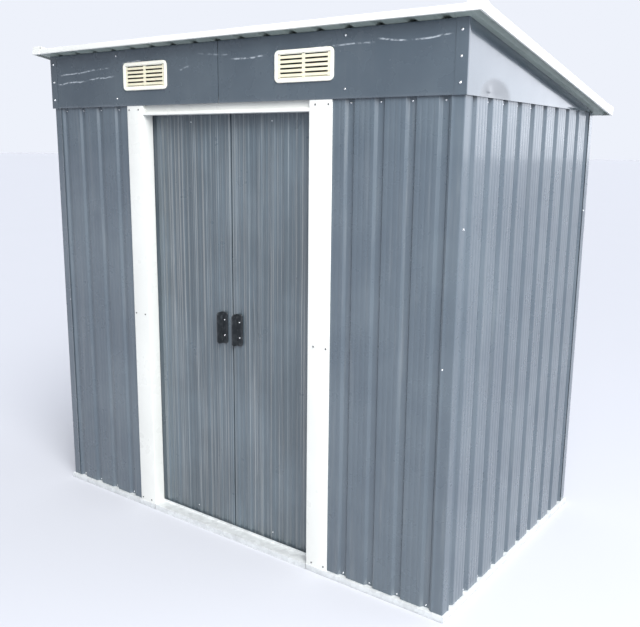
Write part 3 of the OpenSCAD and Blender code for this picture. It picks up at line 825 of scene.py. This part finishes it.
class SHED_OT_trims(Builder):
    """Folds the corner trims of the walls"""

    bl_idname = "shed.trims"
    bl_label = "Corner trims"

    def build(self, scene):
        at = Layout()
        t = scene.shed_sheets.thickness
        curl, curl_width = 0.0022, 0.012

        def curled(a, b, s):
            return -curl * max(0.0, 1 - (leg - max(a, b)) / curl_width) ** 2

        for node in ("corner_trims_front", "corner_trims_back"):
            low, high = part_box(node)
            leg = high.y - low.y - t
            back = 1 if low.y > 0 else -1
            shape = Shape()
            for side in (-1, 1):
                steps = evenly(leg, leg - curl_width, 4)
                path = [(-t, a) for a in steps] + [(-t, -t)] + [(a, -t) for a in reversed(steps)]
                shape.sheet(path, t, evenly(low.z, high.z, 12),
                            lambda a, b, s, side=side: Vector(
                                (side * (at.half_w - a), back * (at.half_d - b), s)),
                            scene.shed_folds.radius * 1.5, 4, curled)
            shape.piece("folded_" + node, "shed", ["slate", "back"], "slate_paint", [node])


class SHED_OT_base(Builder):
    """Folds the base rails, the door sill and the guide rail"""

    bl_idname = "shed.base"
    bl_label = "Base rails and sill"

    def build(self, scene):
        folds = scene.shed_folds
        at = Layout()
        t, ledge, top = folds.thickness, folds.ledge, folds.base_h
        path = [(at.sheet_depth, top + folds.upstand), (at.sheet_depth, top), (-ledge, top),
                (-ledge, 0), (folds.foot, 0)]
        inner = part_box("front_wall_right")[0].x
        rails = Shape()
        for side, half in (("front", at.half_w), ("back", at.half_w),
                           ("left", at.half_d), ("right", at.half_d)):
            wall = at.on_wall(side)
            if side == "front":
                for sign in (-1, 1):
                    def stopped(a, b, s, half=half, wall=wall, sign=sign):
                        end = half - a - CLEARANCE
                        return wall(sign * (inner + (end - inner) * s), a, b)
                    rails.sheet(path, t, evenly(0, 1, 6), stopped, folds.radius)
            else:
                def mitred(a, b, s, half=half, wall=wall):
                    return wall(s * (half - a - CLEARANCE), a, b)
                rails.sheet(path, t, evenly(-1, 1, 12), mitred, folds.radius)
        rails.piece("folded_base_rails", "shed", ["zinc", "zinc"], "galvanised", ["base_rails"])

        low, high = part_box("door_sill")
        back = high.y + at.half_d
        sill = Shape()
        ends = evenly(low.x, high.x, 10)
        sill.sheet([(back - t, high.z), (back - t, top), (-ledge, top), (-ledge, 0)], t, ends,
                   lambda a, b, s: Vector((s, a - at.half_d, b)), folds.radius)
        sill.sheet([(back - t, top - t), (back - t, 0)], t, ends,
                   lambda a, b, s: Vector((s, a - at.half_d, b)), 0)
        sill.piece("folded_door_sill", "shed", ["zinc", "zinc"], "galvanised", ["door_sill"])

        low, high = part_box("door_guide_rail")
        rail = Shape()
        rail.sheet([(low.y, high.z), (low.y, 0), (high.y, 0), (high.y, high.z)], t,
                   evenly(low.x, high.x, 14), lambda a, b, s: Vector((s, a, b)), folds.radius)
        rail.piece("folded_guide_rail", "shed", ["dull_zinc", "dull_zinc"], "galvanised",
                   ["door_guide_rail"])


class SHED_OT_doorway(Builder):
    """Folds the white jambs and the header"""

    bl_idname = "shed.doorway"
    bl_label = "Jambs and header"

    def build(self, scene):
        folds = scene.shed_folds
        at = Layout()
        t = folds.thickness
        for sign, node in ((-1, "door_jamb_left"), (1, "door_jamb_right")):
            low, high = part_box(node)
            a, b = at.jamb_in, at.jamb_edge
            front, back = low.y, high.y
            shape = Shape()
            wave = wander(sign * 3.1, 0.3, 0.0005)
            shape.sheet([(a + folds.stiffener, back), (a, back), (a, front), ((a + b) / 2, front),
                         (b, front), (b, -at.half_d)], t, evenly(low.z, high.z, 24),
                        lambda p, q, s, sign=sign: Vector((sign * p, q, s)), folds.radius, 3,
                        lambda p, q, s, wave=wave: wave(p * 3, s))
            shape.piece("folded_" + node, "shed", ["white", "white"], "white_paint", [node])
        low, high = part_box("door_header")
        web = at.sheet_depth - t - at.half_d
        lip = low.z + folds.header_lip
        header = Shape()
        header.sheet([(web, high.z), (web, lip), (low.y, lip), (low.y, low.z), (high.y, low.z)],
                     t, evenly(low.x, high.x, 16), lambda a, b, s: Vector((s, a, b)),
                     folds.radius)
        header.piece("folded_door_header", "shed", ["white", "white"], "white_paint",
                     ["door_header"])


def dent(middle, spread, depth):
    """A soft round dent, deepest at its middle."""
    def at(u, v):
        off = math.hypot((u - middle[0]) / spread[0], (v - middle[1]) / spread[1])
        return depth * math.exp(-off * off)
    return at


class SHED_OT_fascia(Builder):
    """Folds the two halves of the fascia and the gable panels, with their dents"""

    bl_idname = "shed.fascia"
    bl_label = "Fascia and gables"

    def build(self, scene):
        at = Layout()
        self.halves(scene.shed_folds, scene.shed_sheets.thickness, at)
        self.gables(scene.shed_folds, scene.shed_sheets.thickness, at)

    def halves(self, folds, t, at):
        """The two halves of the fascia, each cut out behind its vent."""
        dents = [dent((x, at.eave + rise), spread, depth) for (x, rise), spread, depth in DENTS]
        for seed, (sign, node) in enumerate(((-1, "fascia_left"), (1, "fascia_right"))):
            low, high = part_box(node)
            face, flange = low.y, high.y
            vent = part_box(node.replace("fascia", "vent"))
            cover = 0.012
            hole_x = (vent[0].x + cover, vent[1].x - cover)
            hole_z = (vent[0].z + cover, vent[1].z - cover)
            top = at.soffit(face) - 0.0001
            heights = sorted(set([hole_z[1], hole_z[0]] + evenly(low.z, top, 14)[1:-1]),
                             reverse=True)
            path = [(flange, at.soffit(flange)), (face, top)]
            path += [(face, z) for z in heights]
            path += [(face, low.z), (-at.half_d, low.z)]
            # The halves stop short of each other at the seam, and the left one bends in there
            ends = (low.x, high.x - 0.0024) if sign < 0 else (low.x + 0.0008, high.x)
            seam = [-0.0025 * k for k in range(1, 7)] if sign < 0 else []
            stations = sorted(set(evenly(*ends, 60) + list(hole_x) + seam))
            wave = wander(seed * 5.7 + 1.9, 0.16, 0.0011)

            def push(y, z, x, wave=wave, face=face, low=low, high=high):
                if y > face + 0.0005:
                    return 0.0
                edge = min(1.0, (z - low.z) / 0.02, (top - z) / 0.02)
                lap = 0.0012 * max(0.0, 1 + x / 0.014) if x < 0 else 0.0
                ends = min(1.0, (x - low.x) / 0.03, (high.x - x) / 0.03)
                bend = max(0.0, ends) * (wave(x, z) + sum(d(x, z) for d in dents))
                return max(0.0, edge) * (bend + lap)

            shape = Shape()
            shape.sheet(path, t, stations, lambda a, b, s: Vector((s, a, b)), folds.radius, 3, push,
                        lambda y, z, x: y < face + 0.001 and hole_x[0] < x < hole_x[1]
                        and hole_z[0] < z < hole_z[1])
            shape.piece("folded_" + node, "shed", ["fascia", "back"], "slate_paint", [node])

    def gables(self, folds, t, at):
        """The triangular panels under the ends of the roof, folded round to the front."""
        crease = dent((-0.400, at.eave + 0.020), (0.016, 0.009), -0.0022)

        def shaded_dent(y, z):
            middle, wide, high = SHADED_DENT
            return 0.0046 * max(0.0, 1 - math.hypot((y - middle) / wide, (z - at.eave) / high))

        for seed, (sign, node) in enumerate(((-1, "gable_left"), (1, "gable_right"))):
            low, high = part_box(node)
            x = at.half_w - at.half_d - at.fascia
            start, end = at.fascia + 0.008, high.y
            wave = wander(seed * 4.1 + 8.3, 0.22, 0.0010)
            shape = Shape()
            rows = 24

            def skin(a, b, s, sign=sign):
                y = start + (end - start) * s
                top = at.soffit(y) - 0.00005
                return Vector((sign * a, y, at.eave + b * (top - at.eave)))

            def push(a, b, s, wave=wave, sign=sign):
                if a < x - 0.0005:
                    return 0.0
                y = start + (end - start) * s
                z = at.eave + b * (at.soffit(y) - at.eave)
                edge = max(0.0, min(1.0, s * 20, (1 - s) * 8, b * 8, (1 - b) * 8))
                total = wave(y, z) * edge
                if sign > 0:
                    total += shaded_dent(y, z) + crease(y, z)
                return total

            path = [(at.half_w, 0), (x, 0)] + [(x, k / rows) for k in range(1, rows)]
            path += [(x, 1), (at.half_w, 1)]
            shape.sheet(path, t, evenly(0, 1, 90), skin, 0.0, 1, push)
            front = low.y
            flange = [((high.x if sign > 0 else -low.x) - folds.gable_flange, front),
                      (x, front), (x, start)]
            shape.sheet(flange, t, evenly(at.eave, at.soffit(front) - 0.0003, 10),
                        lambda a, b, s, sign=sign: Vector((sign * a, b, s)), folds.radius)
            shape.piece("folded_" + node, "shed", ["gable", "back"], "slate_paint", [node])


class SHED_OT_roof(Builder):
    """Sweeps the roof sheets and folds the white trims and corner caps"""

    bl_idname = "shed.roof"
    bl_label = "Roof"

    def build(self, scene):
        at = Layout()
        self.ribbed_sheets(scene.shed_sheets, scene.shed_folds.thickness, at)
        self.trims(scene.shed_folds, at)
        self.caps(scene.shed_folds, at)

    def ribbed_sheets(self, sheets, trim_t, at):
        """The four sheets, from trim to trim, with their ribs up."""
        gap = trim_t + CLEARANCE
        valleys = valley_places(2 * at.half_w, 0.0, 1)
        for k in range(1, 5):
            node = f"roof_sheet_{k}"
            low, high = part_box(node)
            path = [(x, -depth) for x, depth in
                    rib_path(low.x, high.x, valleys, -at.half_w, at.half_w)]
            shape = Shape()
            shape.sheet(path, sheets.thickness,
                        evenly(at.roof_front + gap, at.roof_back - gap, sheets.rows),
                        lambda a, b, s: at.roof(a, s, sheets.thickness - b), sheets.fold, 3)
            shape.piece("ribbed_" + node, "shed", ["roof", "back"], "roof_paint", [node])

    def trims(self, folds, at):
        """Folded edges that hold the sheets on all four sides."""
        t, flange = folds.thickness, folds.trim_flange

        def along_x(sign, run):
            return lambda a, b, s: at.roof(s * (at.roof_side - a), run + sign * a, b)

        def along_slope(sign):
            middle, half = (at.roof_front + at.roof_back) / 2, (at.roof_back - at.roof_front) / 2
            return lambda a, b, s: at.roof(sign * (at.roof_side - a), middle + s * (half - a), b)

        for node, height, place in (
                ("roof_trim_front", folds.front_trim, along_x(1, at.roof_front)),
                ("roof_trim_back", folds.front_trim, along_x(-1, at.roof_back)),
                ("roof_trim_left", folds.side_trim, along_slope(-1)),
                ("roof_trim_right", folds.side_trim, along_slope(1))):
            path = [(flange / 2, height - t), (0, height - t), (0, -t), (flange, -t)]
            shape = Shape()
            shape.sheet(path, t, evenly(-1, 1, 24), place, folds.radius)
            shape.piece("folded_" + node, "shed", ["white", "white"], "white_paint", [node])

    def caps(self, folds, at):
        """A cap over each corner of the trims, closed down to the ribs by inner skirts."""
        t, arm, top = folds.thickness, folds.cap, folds.side_trim
        over_ribs = 0.0105
        shape = Shape()
        for sx in (-1, 1):
            for end, inwards in ((at.roof_front, 1), (at.roof_back, -1)):
                def corner(a, b, c, sx=sx, end=end, inwards=inwards):
                    return at.roof(sx * (at.roof_side - a), end + inwards * b, c)
                outer = [corner(-t, -t, top), corner(arm, -t, top), corner(arm, arm, top),
                         corner(-t, arm, top), corner(-t, -t, -t), corner(arm, -t, -t),
                         corner(-t, arm, -t)]
                inner = [corner(0, 0, top - t), corner(arm, 0, top - t), corner(arm, arm, top - t),
                         corner(0, arm, top - t), corner(0, 0, -t), corner(arm, 0, -t),
                         corner(0, arm, -t)]
                faces = [[0, 1, 2, 3], [0, 4, 5, 1], [0, 3, 6, 4], [7, 10, 9, 8], [7, 8, 12, 11],
                         [7, 11, 13, 10], [1, 5, 12, 8], [1, 8, 9, 2], [2, 9, 10, 3],
                         [3, 10, 13, 6], [4, 6, 13, 11], [4, 11, 12, 5]]
                shape.add(outer + inner, faces)
                for a0, a1, b0, b1 in ((arm - t, arm, 0.004, arm), (0.004, arm - t, arm - t, arm)):
                    ring = [corner(a, b, c) for c in (over_ribs, top - t)
                            for a, b in ((a0, b0), (a1, b0), (a1, b1), (a0, b1))]
                    shape.add(ring, [[0, 1, 2, 3], [7, 6, 5, 4], [0, 4, 5, 1], [1, 5, 6, 2],
                                     [2, 6, 7, 3], [3, 7, 4, 0]])
        piece = shape.piece("folded_corner_caps", "shed", ["white"], "white_paint",
                            ["roof_corner_caps"])
        soften(piece, 0.0005, 2)


class SHED_OT_vents(Builder):
    """Moulds the two louvre vents"""

    bl_idname = "shed.vents"
    bl_label = "Vents"

    def build(self, scene):
        vents = scene.shed_vents
        for node in ("vent_left", "vent_right"):
            low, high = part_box(node)
            middle = (low + high) / 2
            half_w, half_h = (high.x - low.x) / 2, (high.z - low.z) / 2
            front, back = low.y, high.y
            shape = Shape()
            self.rim(shape, vents, middle, half_w, half_h, front, back)
            self.web(shape, vents, middle, half_w, half_h, back)
            shape.piece("moulded_" + node, "shed", ["cream", "shaded_cream"], "vent_plastic",
                        [node], 40)

    def rim(self, shape, vents, middle, half_w, half_h, front, back):
        """The raised rim, swept round the rounded outline."""
        r = vents.corner
        loop = []
        for cx, cz, turn in ((half_w - r, half_h - r, 0), (r - half_w, half_h - r, 1),
                             (r - half_w, r - half_h, 2), (half_w - r, r - half_h, 3)):
            for k in range(9):
                angle = math.pi / 2 * (turn + k / 8)
                loop.append((cx, cz, math.cos(angle), math.sin(angle)))
        depth = back - front
        w = vents.rim
        section = [(0.0, depth), (0.0, 0.0024), (0.0007, 0.0010), (0.0022, 0.0002), (0.0042, 0.0),
                   (w - 0.0045, 0.0), (w - 0.0022, 0.0004), (w - 0.0008, 0.0014),
                   (w, depth - vents.web), (w + 0.0012, depth - vents.web), (w + 0.0012, depth)]
        points, faces = [], []
        for cx, cz, ux, uz in loop:
            for inset, y in section:
                reach = r - inset
                points.append((middle.x + cx + ux * reach, front + y, middle.z + cz + uz * reach))
        n, m = len(loop), len(section)
        for i in range(n):
            for k in range(m):
                a, b = i * m + k, i * m + (k + 1) % m
                c, d = ((i + 1) % n) * m + (k + 1) % m, ((i + 1) % n) * m + k
                faces.append([a, b, c, d])
        shape.add(points, faces)

    def web(self, shape, vents, middle, half_w, half_h, back):
        """The plate with its slots, and a slanted blade behind each slot."""
        inset = vents.rim + 0.001
        xs = [-half_w + inset, -vents.slot_l - vents.slot_gap / 2, -vents.slot_gap / 2,
              vents.slot_gap / 2, vents.slot_l + vents.slot_gap / 2, half_w - inset]
        zs = [-half_h + inset]
        for row in range(vents.rows):
            z = (row - (vents.rows - 1) / 2) * vents.slot_pitch
            zs += [z - vents.slot_h / 2, z + vents.slot_h / 2]
        zs.append(half_h - inset)
        near = back - vents.web

        def in_slot(x, y, z):
            x, z = x - middle.x, z - middle.z
            return (xs[1] < x < xs[2] or xs[3] < x < xs[4]) and any(
                zs[k] < z < zs[k + 1] for k in range(1, len(zs) - 1, 2))

        # The plate and blades take the darker cream, a painted shade for their recess behind the
        # rim
        shape.sheet([(middle.x + x, near) for x in xs], vents.web, [middle.z + z for z in zs],
                    lambda a, b, s: Vector((a, b, s)), 0, is_open=in_slot, face_kind=1)
        for row in range(vents.rows):
            z = middle.z + (row - (vents.rows - 1) / 2) * vents.slot_pitch
            for side in (-1, 1):
                x = middle.x + side * (vents.slot_l + vents.slot_gap) / 2
                rise = 0.0 if row == 0 else vents.slot_pitch * 0.45
                tilt = Matrix.Translation((x, back + 0.0018, z + rise)) @ \
                    Matrix.Rotation(math.radians(-60 if row == 0 else -30), 4, "X")
                # Kind 1 is the darker cream of painted shade
                shape.block((-vents.slot_l / 2, -0.0022, -0.0004),
                            (vents.slot_l / 2, 0.0026, 0.0004), 1, tilt)


class SHED_OT_doors(Builder):
    """Sweeps the two door sheets"""

    bl_idname = "shed.doors"
    bl_label = "Door sheets"

    def build(self, scene):
        doors, sheets = scene.shed_doors, scene.shed_sheets
        for seed, side in enumerate(("left", "right")):
            node = f"door_{side}_sheet"
            low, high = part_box(node)
            sign = 1 if side == "right" else -1
            width = high.x - low.x
            lip, lip_depth = -0.0003 - sheets.thickness / 2, 0.016
            start = low.x if sign > 0 else -high.x
            points = []
            for k in range(math.ceil(width / doors.pitch) + 1):
                c = k * doors.pitch
                h = doors.height
                bead = c + (doors.band + doors.pitch) / 2
                points += [(c, h), (c + doors.slope, 0), (c + doors.band - doors.slope, 0),
                           (c + doors.band, h), (bead - doors.slope, h), (bead, h / 2),
                           (bead + doors.slope, h)]
            points = [(start + a, b) for a, b in points if 0.0005 < a < width - 0.0005]
            path = [(start + lip, lip_depth), (start + lip, doors.height)] + points
            path += [(start + width - lip, points[-1][1]), (start + width - lip, lip_depth)]
            wave = wander(seed * 3.7 + 40, 0.25, 0.0008)
            shape = Shape()
            shape.sheet(path, sheets.thickness / 2, evenly(low.z, high.z, 24),
                        lambda a, b, s, sign=sign: Vector((sign * a, low.y + b, s)), 0.0009, 3,
                        lambda a, b, s, wave=wave: wave(a * 1.5, s) if b < 0.004 else 0.0)
            shape.piece("ribbed_" + node, side + "_door", ["door", "back"], "door_paint", [node])


class SHED_OT_handles(Builder):
    """Moulds the two door handles"""

    bl_idname = "shed.handles"
    bl_label = "Handles"

    def build(self, scene):
        doors = scene.shed_doors
        for side in ("left", "right"):
            node = f"door_{side}_handle"
            low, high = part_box(node)
            t = doors.grip_t
            height = high.z - low.z
            corner = (high.x - low.x) / 4
            shape = Shape()
            self.slab(shape, high.x - low.x, height, corner, t,
                      lambda a, b, c: Vector((low.x + a, high.y - c, low.z + b)))
            self.slab(shape, high.y - low.y, height, corner, t,
                      lambda a, b, c: Vector((low.x + c, high.y - a, low.z + b)))
            rib = corner * 0.6
            for share in (0.12, 0.5, 0.88):
                z = low.z + height * share
                points = [(t, t), (t + rib, t), (t, t + rib)]
                shape.add([(low.x + a, high.y - b, z + c) for c in (-0.0008, 0.0008)
                           for a, b in points],
                          [[0, 1, 2], [3, 5, 4], [0, 3, 4, 1], [1, 4, 5, 2], [2, 5, 3, 0]])
            piece = shape.piece("moulded_" + node, side + "_door", ["black"], "handle_plastic",
                                [node], 40)
            soften(piece, 0.0007, 3)

    def slab(self, shape, width, height, corner, t, place):
        """A plate with two chamfered corners."""
        outline = [(0, 0), (width - corner, 0), (width, corner), (width, height - corner),
                   (width - corner, height), (0, height)]
        points = [place(a, b, c) for c in (0, t) for a, b in outline]
        n = len(outline)
        faces = [list(range(n))[::-1], list(range(n, 2 * n))]
        faces += [[k, (k + 1) % n, n + (k + 1) % n, n + k] for k in range(n)]
        shape.add(points, faces)


def facing(direction):
    """Turns +Z, along which a screw stands out, to this direction."""
    return Vector((0, 0, 1)).rotation_difference(Vector(direction)).to_matrix().to_4x4()


def add_screw(shape, point, direction, scale=1.0, sealed=False, spin=0.0):
    """A pan-head screw with a recess, on a metal and a rubber washer if it is sealed."""
    screws = bpy.context.scene.shed_screws
    matrix = Matrix.Translation(point) @ facing(direction) @ Matrix.Rotation(spin, 4, "Z")
    base = 0.0
    if sealed:
        r = screws.washer / 2 * scale
        shape.turned([(r * 0.94, 0.0), (r * 0.98, 0.0010), (r * 0.7, 0.0016)], screws.around,
                     matrix, 1)
        base = 0.0012
        shape.turned([(r, base), (r, base + 0.0006), (r * 0.9, base + 0.0009),
                      (r * 0.5, base + 0.0012)], screws.around, matrix)
        base += 0.0008
    r, h = screws.head / 2 * scale, screws.rise * scale
    dome = [(r, base), (r, base + h * 0.35), (r * 0.93, base + h * 0.62),
            (r * 0.75, base + h * 0.84), (r * 0.45, base + h), (r * 0.34, base + h),
            (r * 0.12, base + h * 0.45)]
    shape.turned(dome, screws.around, matrix)


class SHED_OT_screws(Builder):
    """Sets the screws of the walls, fascia, doorway, roof, vents and doors"""

    bl_idname = "shed.screws"
    bl_label = "Screws"

    def build(self, scene):
        at = Layout()
        self.turn = 0.0
        self.walls(scene, at)
        self.fascia(scene, at)
        self.doorway(scene, at)
        self.roof(scene, at)
        self.vents(scene, at)
        self.doors(scene, at)

    def put(self, shape, point, direction, *rest, **more):
        self.turn += 1.1
        add_screw(shape, Vector(point), direction, *rest, spin=self.turn, **more)

    def walls(self, scene, at):
        """A screw in each valley, into the base and top rails."""
        sheets = scene.shed_sheets
        panel = at.half_w - at.jamb_edge
        right = valley_places(panel, at.half_w - panel / 2)
        outward = {"front": (0, -1, 0), "back": (0, 1, 0), "right": (1, 0, 0), "left": (-1, 0, 0)}
        levels = (at.foot + 0.009, at.eave - 0.011)
        for side in ("front", "back", "left", "right"):
            if side == "front":
                places = right + [-v for v in right]
            else:
                width = at.half_w if side == "back" else at.half_d
                places = valley_places(2 * width)
            shape = Shape()
            wall = at.on_wall(side)
            for level in levels:
                for a in places:
                    self.put(shape, wall(a, sheets.depth, level), outward[side], 0.9)
            shape.piece(f"screws_{side}_wall", "shed", ["screw"], "galvanised")
        shape = Shape()
        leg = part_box("corner_trims_front")[1].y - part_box("corner_trims_front")[0].y
        height = at.eave - at.foot
        for sx in (-1, 1):
            for sy in (-1, 1):
                self.put(shape, (sx * (at.half_w + sheets.thickness),
                                 sy * (at.half_d - leg * 0.62), at.foot + height * 0.765),
                         (sx, 0, 0))
                self.put(shape, (sx * (at.half_w - leg * 0.86),
                                 sy * (at.half_d + sheets.thickness), at.foot + height * 0.502),
                         (0, sy, 0), 0.9)
        shape.piece("screws_corner_trims", "shed", ["screw"], "galvanised")

    def fascia(self, scene, at):
        front = at.fascia
        height = at.soffit(front) - at.eave
        shape = Shape()
        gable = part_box("gable_right")
        for sx in (-1, 1):
            for share in (0.14, 0.90):
                self.put(shape, (sx * 0.515, front, at.eave + height * share), (0, -1, 0))
            for share in (0.16, 0.50, 0.84):
                self.put(shape, (sx * (gable[1].x - 0.020), gable[0].y,
                                 at.eave + height * share), (0, -1, 0), 1.15)
        shape.piece("screws_fascia", "shed", ["screw"], "galvanised")

    def doorway(self, scene, at):
        low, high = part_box("door_jamb_right")
        shape = Shape()
        for sx in (-1, 1):
            for x in (low.x + 0.024, high.x - 0.012):
                for z in (low.z + 0.012, (low.z + high.z) / 2, high.z - 0.014):
                    self.put(shape, (sx * x, low.y, z), (0, -1, 0), 0.9)
        shape.piece("screws_jambs", "shed", ["dark_screw"], "galvanised")

    def roof(self, scene, at):
        """Sealed screws over the top rails and beams, and plain ones along the side trims."""
        sheets, folds = scene.shed_sheets, scene.shed_folds
        crowns = [v + sheets.pitch / 2 for v in valley_places(2 * at.half_w)]
        crowns = [crowns[0] - sheets.pitch] + crowns
        cos, sin = math.cos(at.slope), math.sin(at.slope)
        up = Vector((0, sin, cos))
        depth = 2 * at.half_d
        shape = Shape()
        for share in (0.012, 1 / 3, 2 / 3, 0.988):
            for x in crowns[::2]:
                self.put(shape, at.roof(x, share * depth / cos, sheets.thickness), up, sealed=True)
        shape.piece("screws_roof", "shed", ["screw", "rubber"], "galvanised")
        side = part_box("roof_trim_right")[1].x - 0.0055
        height = folds.side_trim - folds.thickness
        shape = Shape()
        for sx in (-1, 1):
            for share in (0.1, 0.3, 0.5, 0.7, 0.9):
                self.put(shape, at.roof(sx * side, share * depth / cos, height), up, 0.8)
        shape.piece("screws_roof_trims", "shed", ["screw"], "galvanised")

    def vents(self, scene, at):
        vents, screws = scene.shed_vents, scene.shed_screws
        shape = Shape()
        for node in ("vent_left", "vent_right"):
            low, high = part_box(node)
            z = (low.z + high.z) / 2
            for x in (low.x + vents.rim * 0.55, high.x - vents.rim * 0.55):
                self.put(shape, (x, low.y + 0.0016, z), (0, -1, 0), screws.small)
        shape.piece("screws_vents", "shed", ["screw"], "galvanised")

    def doors(self, scene, at):
        """Small screws through the sheets into the door frames, and those of the handles."""
        doors, screws = scene.shed_doors, scene.shed_screws
        for side in ("left", "right"):
            low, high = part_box(f"door_{side}_sheet")
            sign = 1 if side == "right" else -1
            inner = low.x if sign > 0 else -high.x
            middle = doors.band / 2
            shape = Shape()
            x = inner + 3 * doors.pitch + middle
            for z in (low.z + 0.034, high.z - 0.034):
                self.put(shape, (sign * x, low.y, z), (0, -1, 0), screws.small)
            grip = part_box(f"door_{side}_handle")
            x = grip[0].x + doors.grip_t + (grip[1].x - grip[0].x - doors.grip_t) * 0.5
            for share in (doors.screw_low, doors.screw_high):
                z = grip[0].z + (grip[1].z - grip[0].z) * share
                self.put(shape, (x, grip[1].y - doors.grip_t, z), (0, -1, 0), 0.85)
            shape.piece(f"screws_{side}_door", side + "_door", ["screw"], "galvanised")


class SHED_OT_frame(Builder):
    """Gives the inner frame, tracks and gliders their finish"""

    bl_idname = "shed.frame"
    bl_label = "Inner frame"
    adds_pieces = False

    def build(self, scene):
        finishes = {
            "dull_zinc": ["corner_posts", "mid_rails", "top_rails", "front_top_rail",
                          "door_track", "roof_beams", "door_left_frame", "door_right_frame"],
            "black": ["door_left_gliders", "door_right_gliders"],
        }
        for finish, nodes in finishes.items():
            for node in nodes:
                slots = frame["nodes"][node].data.materials
                slots.clear()
                slots.append(finish_of(finish))


class SHED_OT_stage(Builder):
    """Sets up the floor, the soft studio lights and the camera"""

    bl_idname = "shed.stage"
    bl_label = "Stage"

    def build(self, scene):
        stage = scene.shed_stage
        self.floor(stage)
        self.lights(scene, stage)
        self.camera(scene, stage)

    def floor(self, stage):
        mesh = bpy.data.meshes.new("floor")
        work = bmesh.new()
        bmesh.ops.create_circle(work, cap_ends=True, radius=stage.floor_radius, segments=96)
        work.to_mesh(mesh)
        work.free()
        graph = Graph("floor")
        shade = graph.blend(graph.noise(0.8, 3), stage.floor[:], darker(stage.floor, 0.985))
        graph.set(Base_Color=shade, Roughness=0.9, Specular_IOR_Level=0.1)
        mesh.materials.append(graph.material)
        floor = bpy.data.objects.new("floor", mesh)
        floor.location.z = -0.0005
        bpy.context.scene.collection.objects.link(floor)

    def lights(self, scene, stage):
        """An even pale surround, brighter behind the shed on the right and dimmer in front, a
        broad soft sun and a panel at the front right."""
        world = bpy.data.worlds.new("backdrop")
        world.use_nodes = True
        tree = world.node_tree
        backdrop = tree.nodes["Background"]
        backdrop.inputs["Color"].default_value = (*stage.air, 1.0)
        both = tree.nodes.new("ShaderNodeMath")
        both.operation = "MULTIPLY"
        tree.links.new(self.lobe(tree, stage.bright_side, 14, 24, 44, stage.bright), both.inputs[0])
        tree.links.new(self.lobe(tree, stage.dim_side, 8, 30, 70, stage.dim), both.inputs[1])
        tree.links.new(both.outputs[0], backdrop.inputs["Strength"])
        scene.world = world
        scene.view_settings.view_transform = "Standard"
        sun = bpy.data.lights.new("soft_sun", "SUN")
        sun.energy = stage.sun
        sun.angle = stage.sun_spread
        sun.color = (1.0, 0.985, 0.96)
        self.aim(scene, sun, Vector(stage.sun_place) * 6, Vector())
        panel = bpy.data.lights.new("side_panel", "AREA")
        panel.shape = "DISK"
        panel.size = stage.side_size
        panel.energy = stage.side
        self.aim(scene, panel, Vector(stage.side_place), Vector(stage.side_target))

    def lobe(self, tree, azimuth, elevation, inner, outer, level):
        """A strength that is level within inner degrees of a direction and 1 past outer."""
        a, e = math.radians(azimuth), math.radians(elevation)
        dot = tree.nodes.new("ShaderNodeVectorMath")
        dot.operation = "DOT_PRODUCT"
        tree.links.new(tree.nodes.new("ShaderNodeTexCoord").outputs["Generated"], dot.inputs[0])
        dot.inputs[1].default_value = (math.cos(a) * math.cos(e), math.sin(a) * math.cos(e),
                                       math.sin(e))
        strength = tree.nodes.new("ShaderNodeMapRange")
        strength.interpolation_type = "SMOOTHSTEP"
        tree.links.new(dot.outputs["Value"], strength.inputs["Value"])
        strength.inputs["From Min"].default_value = math.cos(math.radians(outer))
        strength.inputs["From Max"].default_value = math.cos(math.radians(inner))
        strength.inputs["To Min"].default_value = 1.0
        strength.inputs["To Max"].default_value = level
        return strength.outputs[0]

    def aim(self, scene, light, place, target):
        """Sets a light at place and turns it to target."""
        lamp = bpy.data.objects.new(light.name, light)
        lamp.location = place
        lamp.rotation_mode = "QUATERNION"
        lamp.rotation_quaternion = (target - place).to_track_quat("-Z", "Y")
        scene.collection.objects.link(lamp)

    def camera(self, scene, stage):
        data = bpy.data.cameras.new("camera")
        data.lens = stage.lens
        data.shift_x, data.shift_y = stage.shift
        camera = bpy.data.objects.new("camera", data)
        away = Vector((math.sin(stage.azimuth) * math.cos(stage.elevation),
                       -math.cos(stage.azimuth) * math.cos(stage.elevation),
                       math.sin(stage.elevation)))
        camera.location = Vector(stage.target) + away * stage.distance
        camera.rotation_mode = "QUATERNION"
        camera.rotation_quaternion = (-away).to_track_quat("-Z", "Y") @ \
            Quaternion((0, 0, 1), stage.roll)
        scene.collection.objects.link(camera)
        scene.camera = camera


class SHED_PT_panel(Panel):
    """Lists the shed's operators"""

    bl_idname = "SHED_PT_panel"
    bl_label = "Metal storage shed"
    bl_space_type = "VIEW_3D"
    bl_region_type = "UI"
    bl_category = "Shed"

    def draw(self, context):
        for step in STEPS:
            self.layout.operator(step.bl_idname)


STEPS = (SHED_OT_frame, SHED_OT_base, SHED_OT_walls, SHED_OT_trims, SHED_OT_doorway,
         SHED_OT_fascia, SHED_OT_roof, SHED_OT_vents, SHED_OT_doors, SHED_OT_handles,
         SHED_OT_screws, SHED_OT_stage)
GROUPS = {"shed_sheets": ShedSheets, "shed_doors": ShedDoors, "shed_folds": ShedFolds,
          "shed_vents": ShedVents, "shed_screws": ShedScrews, "shed_colours": ShedColours,
          "shed_stage": ShedStage}


def register():
    for name, group in GROUPS.items():
        bpy.utils.register_class(group)
        setattr(bpy.types.Scene, name, PointerProperty(type=group))
    for step in STEPS:
        bpy.utils.register_class(step)
    bpy.utils.register_class(SHED_PT_panel)


def unregister():
    bpy.utils.unregister_class(SHED_PT_panel)
    for step in reversed(STEPS):
        bpy.utils.unregister_class(step)
    for name, group in reversed(GROUPS.items()):
        delattr(bpy.types.Scene, name)
        bpy.utils.unregister_class(group)


def main():
    register()
    for step in STEPS:
        group, name = step.bl_idname.split(".")
        getattr(getattr(bpy.ops, group), name)()


if __name__ == "__main__":
    main()
